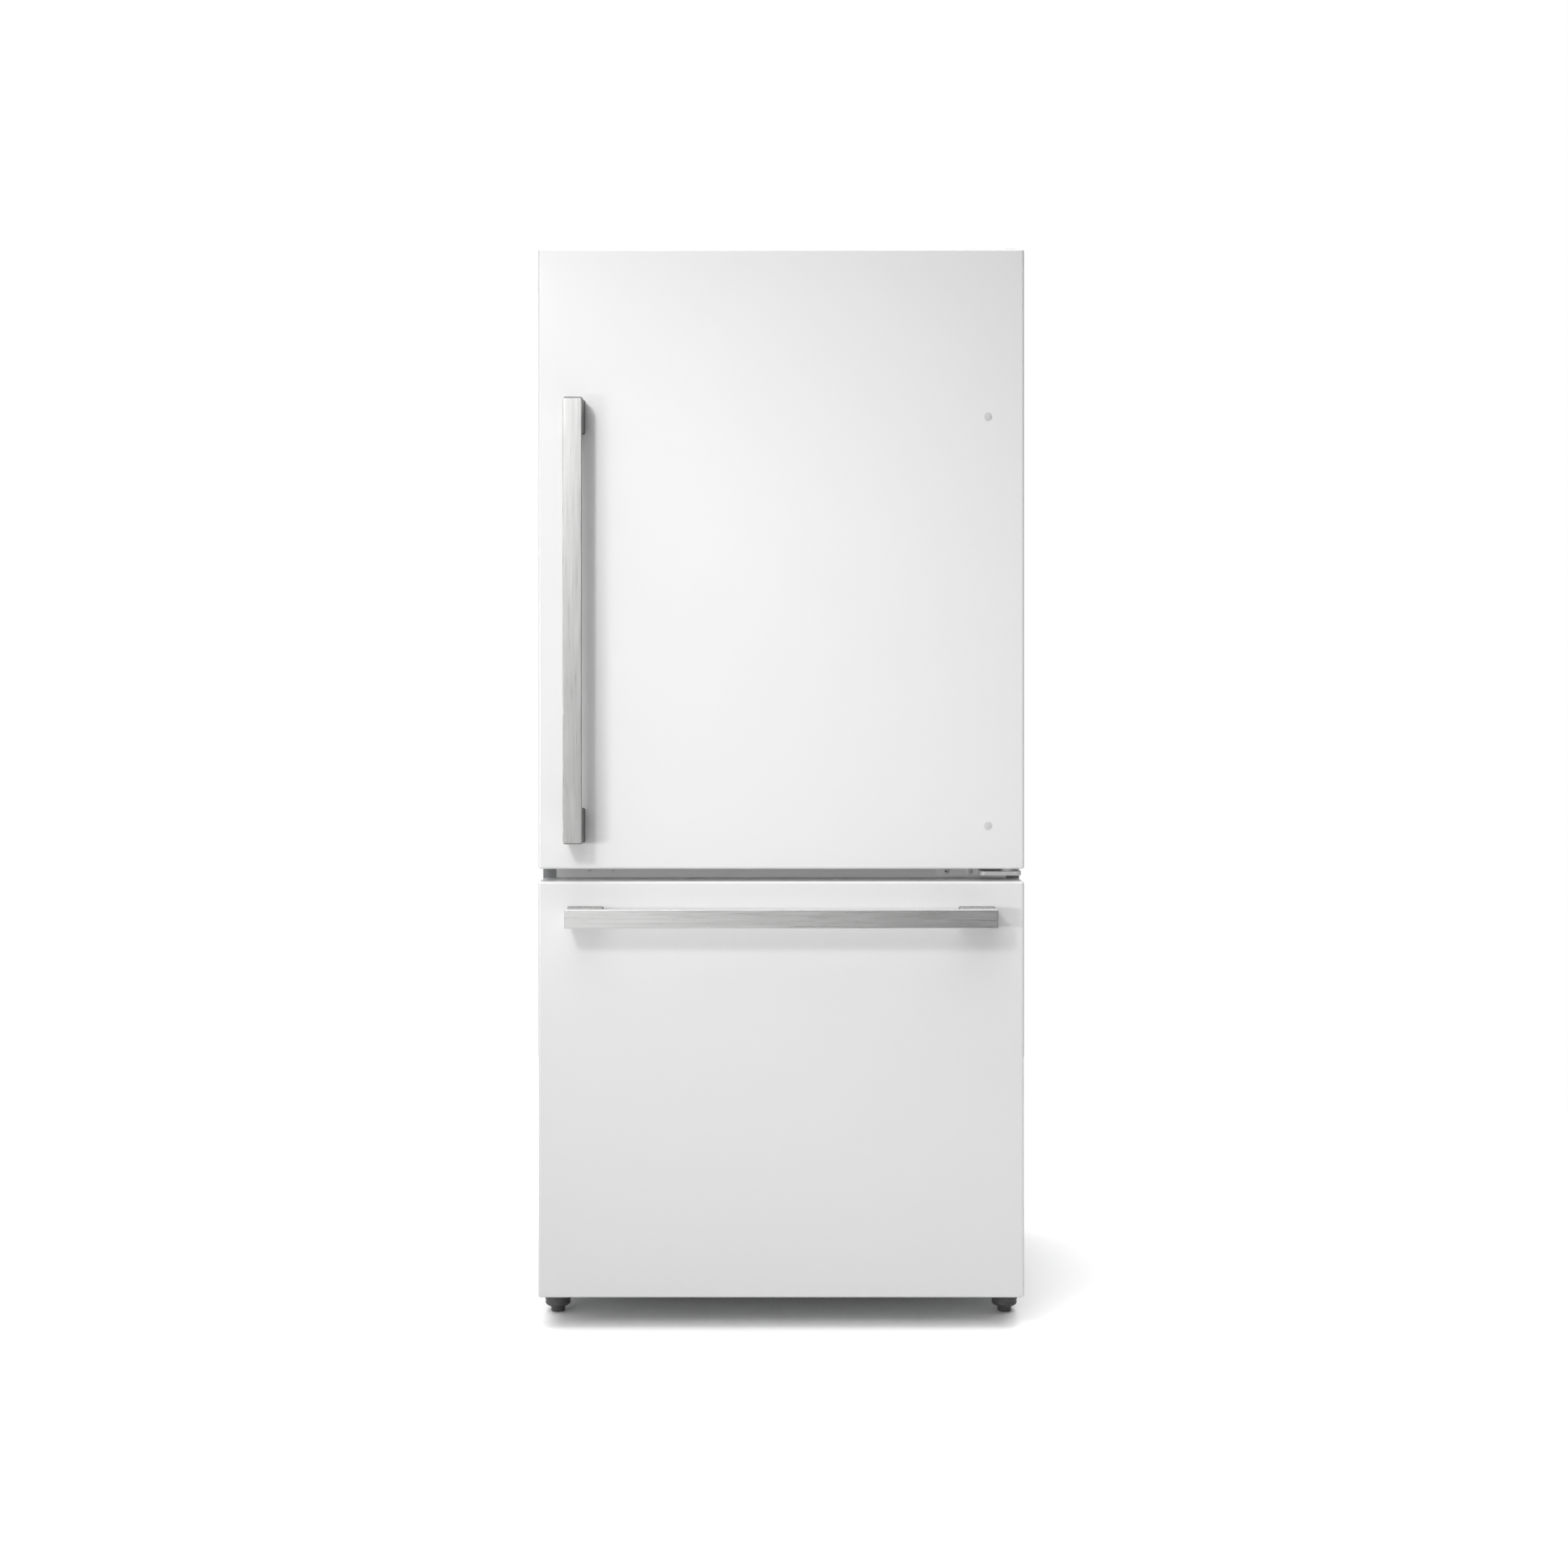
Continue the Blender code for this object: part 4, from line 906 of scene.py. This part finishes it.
# ---------------------------------------------------------------- back and machine compartment
def rear(mats):
    """Screws round the edges of the back panel and the machine cover."""
    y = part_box("back_panel")[0].y + 0.8 * MM
    spots = [(x, y, z) for x in (-BACK_SCREW_X, BACK_SCREW_X) for z in BACK_SCREW_Z]
    screws("back_panel_screws", spots, (0, 1, 0), 3.2 * MM, mats["zinc"], "cabinet")
    low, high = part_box("machine_cover")
    across = (low.x + 12 * MM, -0.13, 0.13, high.x - 12 * MM)
    spots = [(x, high.y, z) for x in across for z in (low.z + 10 * MM, high.z - 10 * MM)]
    screws("machine_cover_screws", spots, (0, 1, 0), 3.4 * MM, mats["zinc"], "cabinet")


def compressor_details(mats):
    """The drain pan over the compressor, and its discharge and suction tubes."""
    pan = block(PAN_X, PAN_Y, PAN_Z, 8 * MM, 4, lambda edge: not on_face(2, PAN_Z[1])(edge))
    inner_x = (PAN_X[0] + PAN_WALL, PAN_X[1] - PAN_WALL)
    inner_y = (PAN_Y[0] + PAN_WALL, PAN_Y[1] - PAN_WALL)
    hollow = block(inner_x, inner_y, (PAN_Z[0] + PAN_WALL, 0.30), 6 * MM, 4)
    piece("drain_pan", cut_out(pan, [hollow]), mats["dark"], "cabinet")
    discharge = [(-0.126, 0.262, 0.120), (-0.105, 0.262, 0.120), (-0.088, 0.262, 0.124),
                 (-0.075, 0.258, 0.135), (-0.068, 0.250, 0.150), (-0.066, 0.240, 0.170),
                 (-0.066, 0.225, 0.182), (-0.060, 0.210, 0.186), (-0.040, 0.1925, 0.186),
                 (0.0, 0.1895, 0.186), (0.060, 0.1895, 0.180), (0.100, 0.196, 0.160)]
    piece("discharge_tube", tube(discharge, 2.6 * MM), mats["copper"], "cabinet")
    suction = [(-0.274, 0.262, 0.120), (-0.295, 0.262, 0.120), (-0.312, 0.262, 0.126),
               (-0.322, 0.262, 0.140), (-0.325, 0.262, 0.165), (-0.325, 0.262, 0.200),
               (-0.325, 0.262, 0.2425)]
    piece("suction_tube", tube(suction, 3.6 * MM), mats["copper"], "cabinet")


# ---------------------------------------------------------------- CAD nodes that keep their shape
def keep_cad(mats):
    """Materials for the nodes that show as they are, and same-shaped stand-ins with smooth shading or
    softened edges for those with round or rounded parts."""
    plain = {
        "cabinet_shell": "cabinet", "insulation_foam": "foam", "base_plate": "zinc", "back_panel": "zinc",
        "machine_cover": "black", "compressor_base": "zinc", "evaporator": "fins",
        "door_foam": "foam", "drawer_foam": "foam", "mullion_rail": "rail",
        "rail_outer_left": "zinc", "rail_outer_right": "zinc", "rail_mid_left": "zinc",
        "rail_mid_right": "zinc", "rail_inner_left": "zinc", "rail_inner_right": "zinc",
    }
    for node, key in plain.items():
        paint(node, mats[key])
    round_nodes = {
        "fridge_liner": ("liner", "white_liner"), "freezer_liner": ("liner", "white_liner"),
        "door_liner": ("liner", "white_liner"), "drawer_liner": ("liner", "white_liner"),
        "power_cord_gland": ("rubber", "black_rubber"), "compressor": ("black", "black_paint"),
        "condenser_coil": ("copper", "copper_tube"), "condenser_fan_shroud": ("dark", "dark_plastic"),
        "condenser_fan": ("dark", "dark_plastic"), "evaporator_fan": ("dark", "dark_plastic"),
        "rear_roller_left": ("dark", "dark_plastic"), "rear_roller_right": ("dark", "dark_plastic"),
        "top_hinge": ("zinc", "zinc_steel"),
    }
    for node, (key, slot) in round_nodes.items():
        refined(node, mats[key])
    softened("top_hinge_cover", mats["cover"], 1.2 * MM, 3, 20.0)
    for side in ("left", "right"):
        softened("humidity_slider_" + side, mats["dark"], 0.4 * MM, 2, 50.0)


# ---------------------------------------------------------------- stage, light and camera
def stage(mats):
    bm = bmesh.new()
    bmesh.ops.create_circle(bm, cap_ends=True, radius=FLOOR_RADIUS, segments=96)
    mesh = bpy.data.meshes.new("floor")
    bm.to_mesh(mesh)
    bm.free()
    mesh.materials.append(mats["floor"])
    floor = bpy.data.objects.new("floor", mesh)
    bpy.context.scene.collection.objects.link(floor)


def area_light(name, place, target, size, power, spread):
    light = bpy.data.lights.new(name, "AREA")
    light.shape = "RECTANGLE"
    light.size = size[0]
    light.size_y = size[1]
    light.energy = power
    light.spread = math.radians(spread)
    obj = bpy.data.objects.new(name, light)
    obj.location = place
    obj.rotation_euler = (Vector(target) - Vector(place)).to_track_quat("-Z", "Y").to_euler()
    bpy.context.scene.collection.objects.link(obj)


def ramp(tree, source, start, stop, top):
    """Smooth rise from 0 to top as the source goes from start to stop."""
    node = tree.nodes.new("ShaderNodeMapRange")
    node.interpolation_type = "SMOOTHSTEP"
    node.inputs["From Min"].default_value = start
    node.inputs["From Max"].default_value = stop
    node.inputs["To Min"].default_value = 0.0
    node.inputs["To Max"].default_value = top
    tree.links.new(source, node.inputs["Value"])
    return node.outputs["Result"]


def math_node(tree, operation, a, b):
    node = tree.nodes.new("ShaderNodeMath")
    node.operation = operation
    for socket, value in zip(node.inputs, (a, b)):
        if isinstance(value, float):
            socket.default_value = value
        else:
            tree.links.new(value, socket)
    return node.outputs[0]


def sky(tree):
    """Strength of the studio round the object: bright overhead, a soft wall front left, a plain back."""
    direction = tree.nodes.new("ShaderNodeTexCoord").outputs["Generated"]
    split = tree.nodes.new("ShaderNodeSeparateXYZ")
    tree.links.new(direction, split.inputs["Vector"])
    x, y, z = split.outputs
    overhead = ramp(tree, z, 0.70, 1.0, OVERHEAD)
    left = ramp(tree, x, 0.16, -0.14, WALL)
    high = ramp(tree, z, -0.18, 0.12, 1.0)
    front = ramp(tree, y, 0.20, -0.30, 1.0)
    wall = math_node(tree, "MULTIPLY", math_node(tree, "MULTIPLY", left, high), front)
    back = ramp(tree, y, -0.10, 0.50, BACK_WALL)
    total = math_node(tree, "ADD", overhead, wall)
    total = math_node(tree, "ADD", total, back)
    return math_node(tree, "ADD", total, AMBIENT)


def lights():
    """Four lamps and the studio round them; the camera sees a plain white backdrop behind the object."""
    area_light("key", (-0.98, -2.45, 2.20), (-0.15, -0.3, 1.35), (0.22, 0.22), KEY_WATTS, 64.0)
    area_light("soft", (-0.60, -2.30, 2.55), (0.20, -0.3, 1.45), (2.0, 1.5), SOFT_WATTS, 56.0)
    area_light("strip", (-0.75, -3.90, 0.14), (-0.3, -0.3, 0.60), (0.8, 0.26), STRIP_WATTS, 180.0)
    area_light("fill", (-2.10, -3.30, 0.86), (-0.05, -0.3, 0.80), (1.0, 0.3), FILL_WATTS, 36.0)
    world = bpy.data.worlds.new("studio")
    world.use_nodes = True
    tree = world.node_tree
    output = tree.nodes["World Output"]
    base = tree.nodes["Background"]
    base.inputs["Color"].default_value = (1.0, 1.0, 1.0, 1.0)
    tree.links.new(sky(tree), base.inputs["Strength"])
    seen = tree.nodes.new("ShaderNodeBackground")
    seen.inputs["Color"].default_value = (1.0, 1.0, 1.0, 1.0)
    seen.inputs["Strength"].default_value = 1.0
    path = tree.nodes.new("ShaderNodeLightPath")
    mix = tree.nodes.new("ShaderNodeMixShader")
    tree.links.new(path.outputs["Is Camera Ray"], mix.inputs["Fac"])
    tree.links.new(base.outputs["Background"], mix.inputs[1])
    tree.links.new(seen.outputs["Background"], mix.inputs[2])
    tree.links.new(mix.outputs["Shader"], output.inputs["Surface"])
    bpy.context.scene.world = world


def camera():
    """Level and straight at the front, a little below the middle of the door handle."""
    data = bpy.data.cameras.new("camera")
    data.sensor_width = SENSOR_MM
    data.lens = LENS_MM
    data.shift_x, data.shift_y = CAMERA_SHIFT
    data.clip_end = 60.0
    obj = bpy.data.objects.new("camera", data)
    obj.location = (0.0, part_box("door_skin")[0].y - CAMERA_DISTANCE, CAMERA_HEIGHT)
    obj.rotation_euler = (math.radians(90), 0.0, 0.0)
    bpy.context.scene.collection.objects.link(obj)
    bpy.context.scene.camera = obj


def build():
    scene = bpy.context.scene
    scene.view_settings.view_transform = "Standard"
    mats = make_materials()
    camera()
    lights()
    stage(mats)
    keep_cad(mats)
    fronts(mats)
    handle("door_handle_bar", ("door_handle_post_upper", "door_handle_post_lower"), 2, mats)
    handle("drawer_handle_bar", ("drawer_handle_post_left", "drawer_handle_post_right"), 0, mats)
    door_plugs(mats)
    seals(mats)
    rail_details(mats)
    hinge_details(mats)
    feet(mats)
    interior(mats)
    crispers(mats)
    door_storage(mats)
    freezer(mats)
    rear(mats)
    compressor_details(mats)


build()
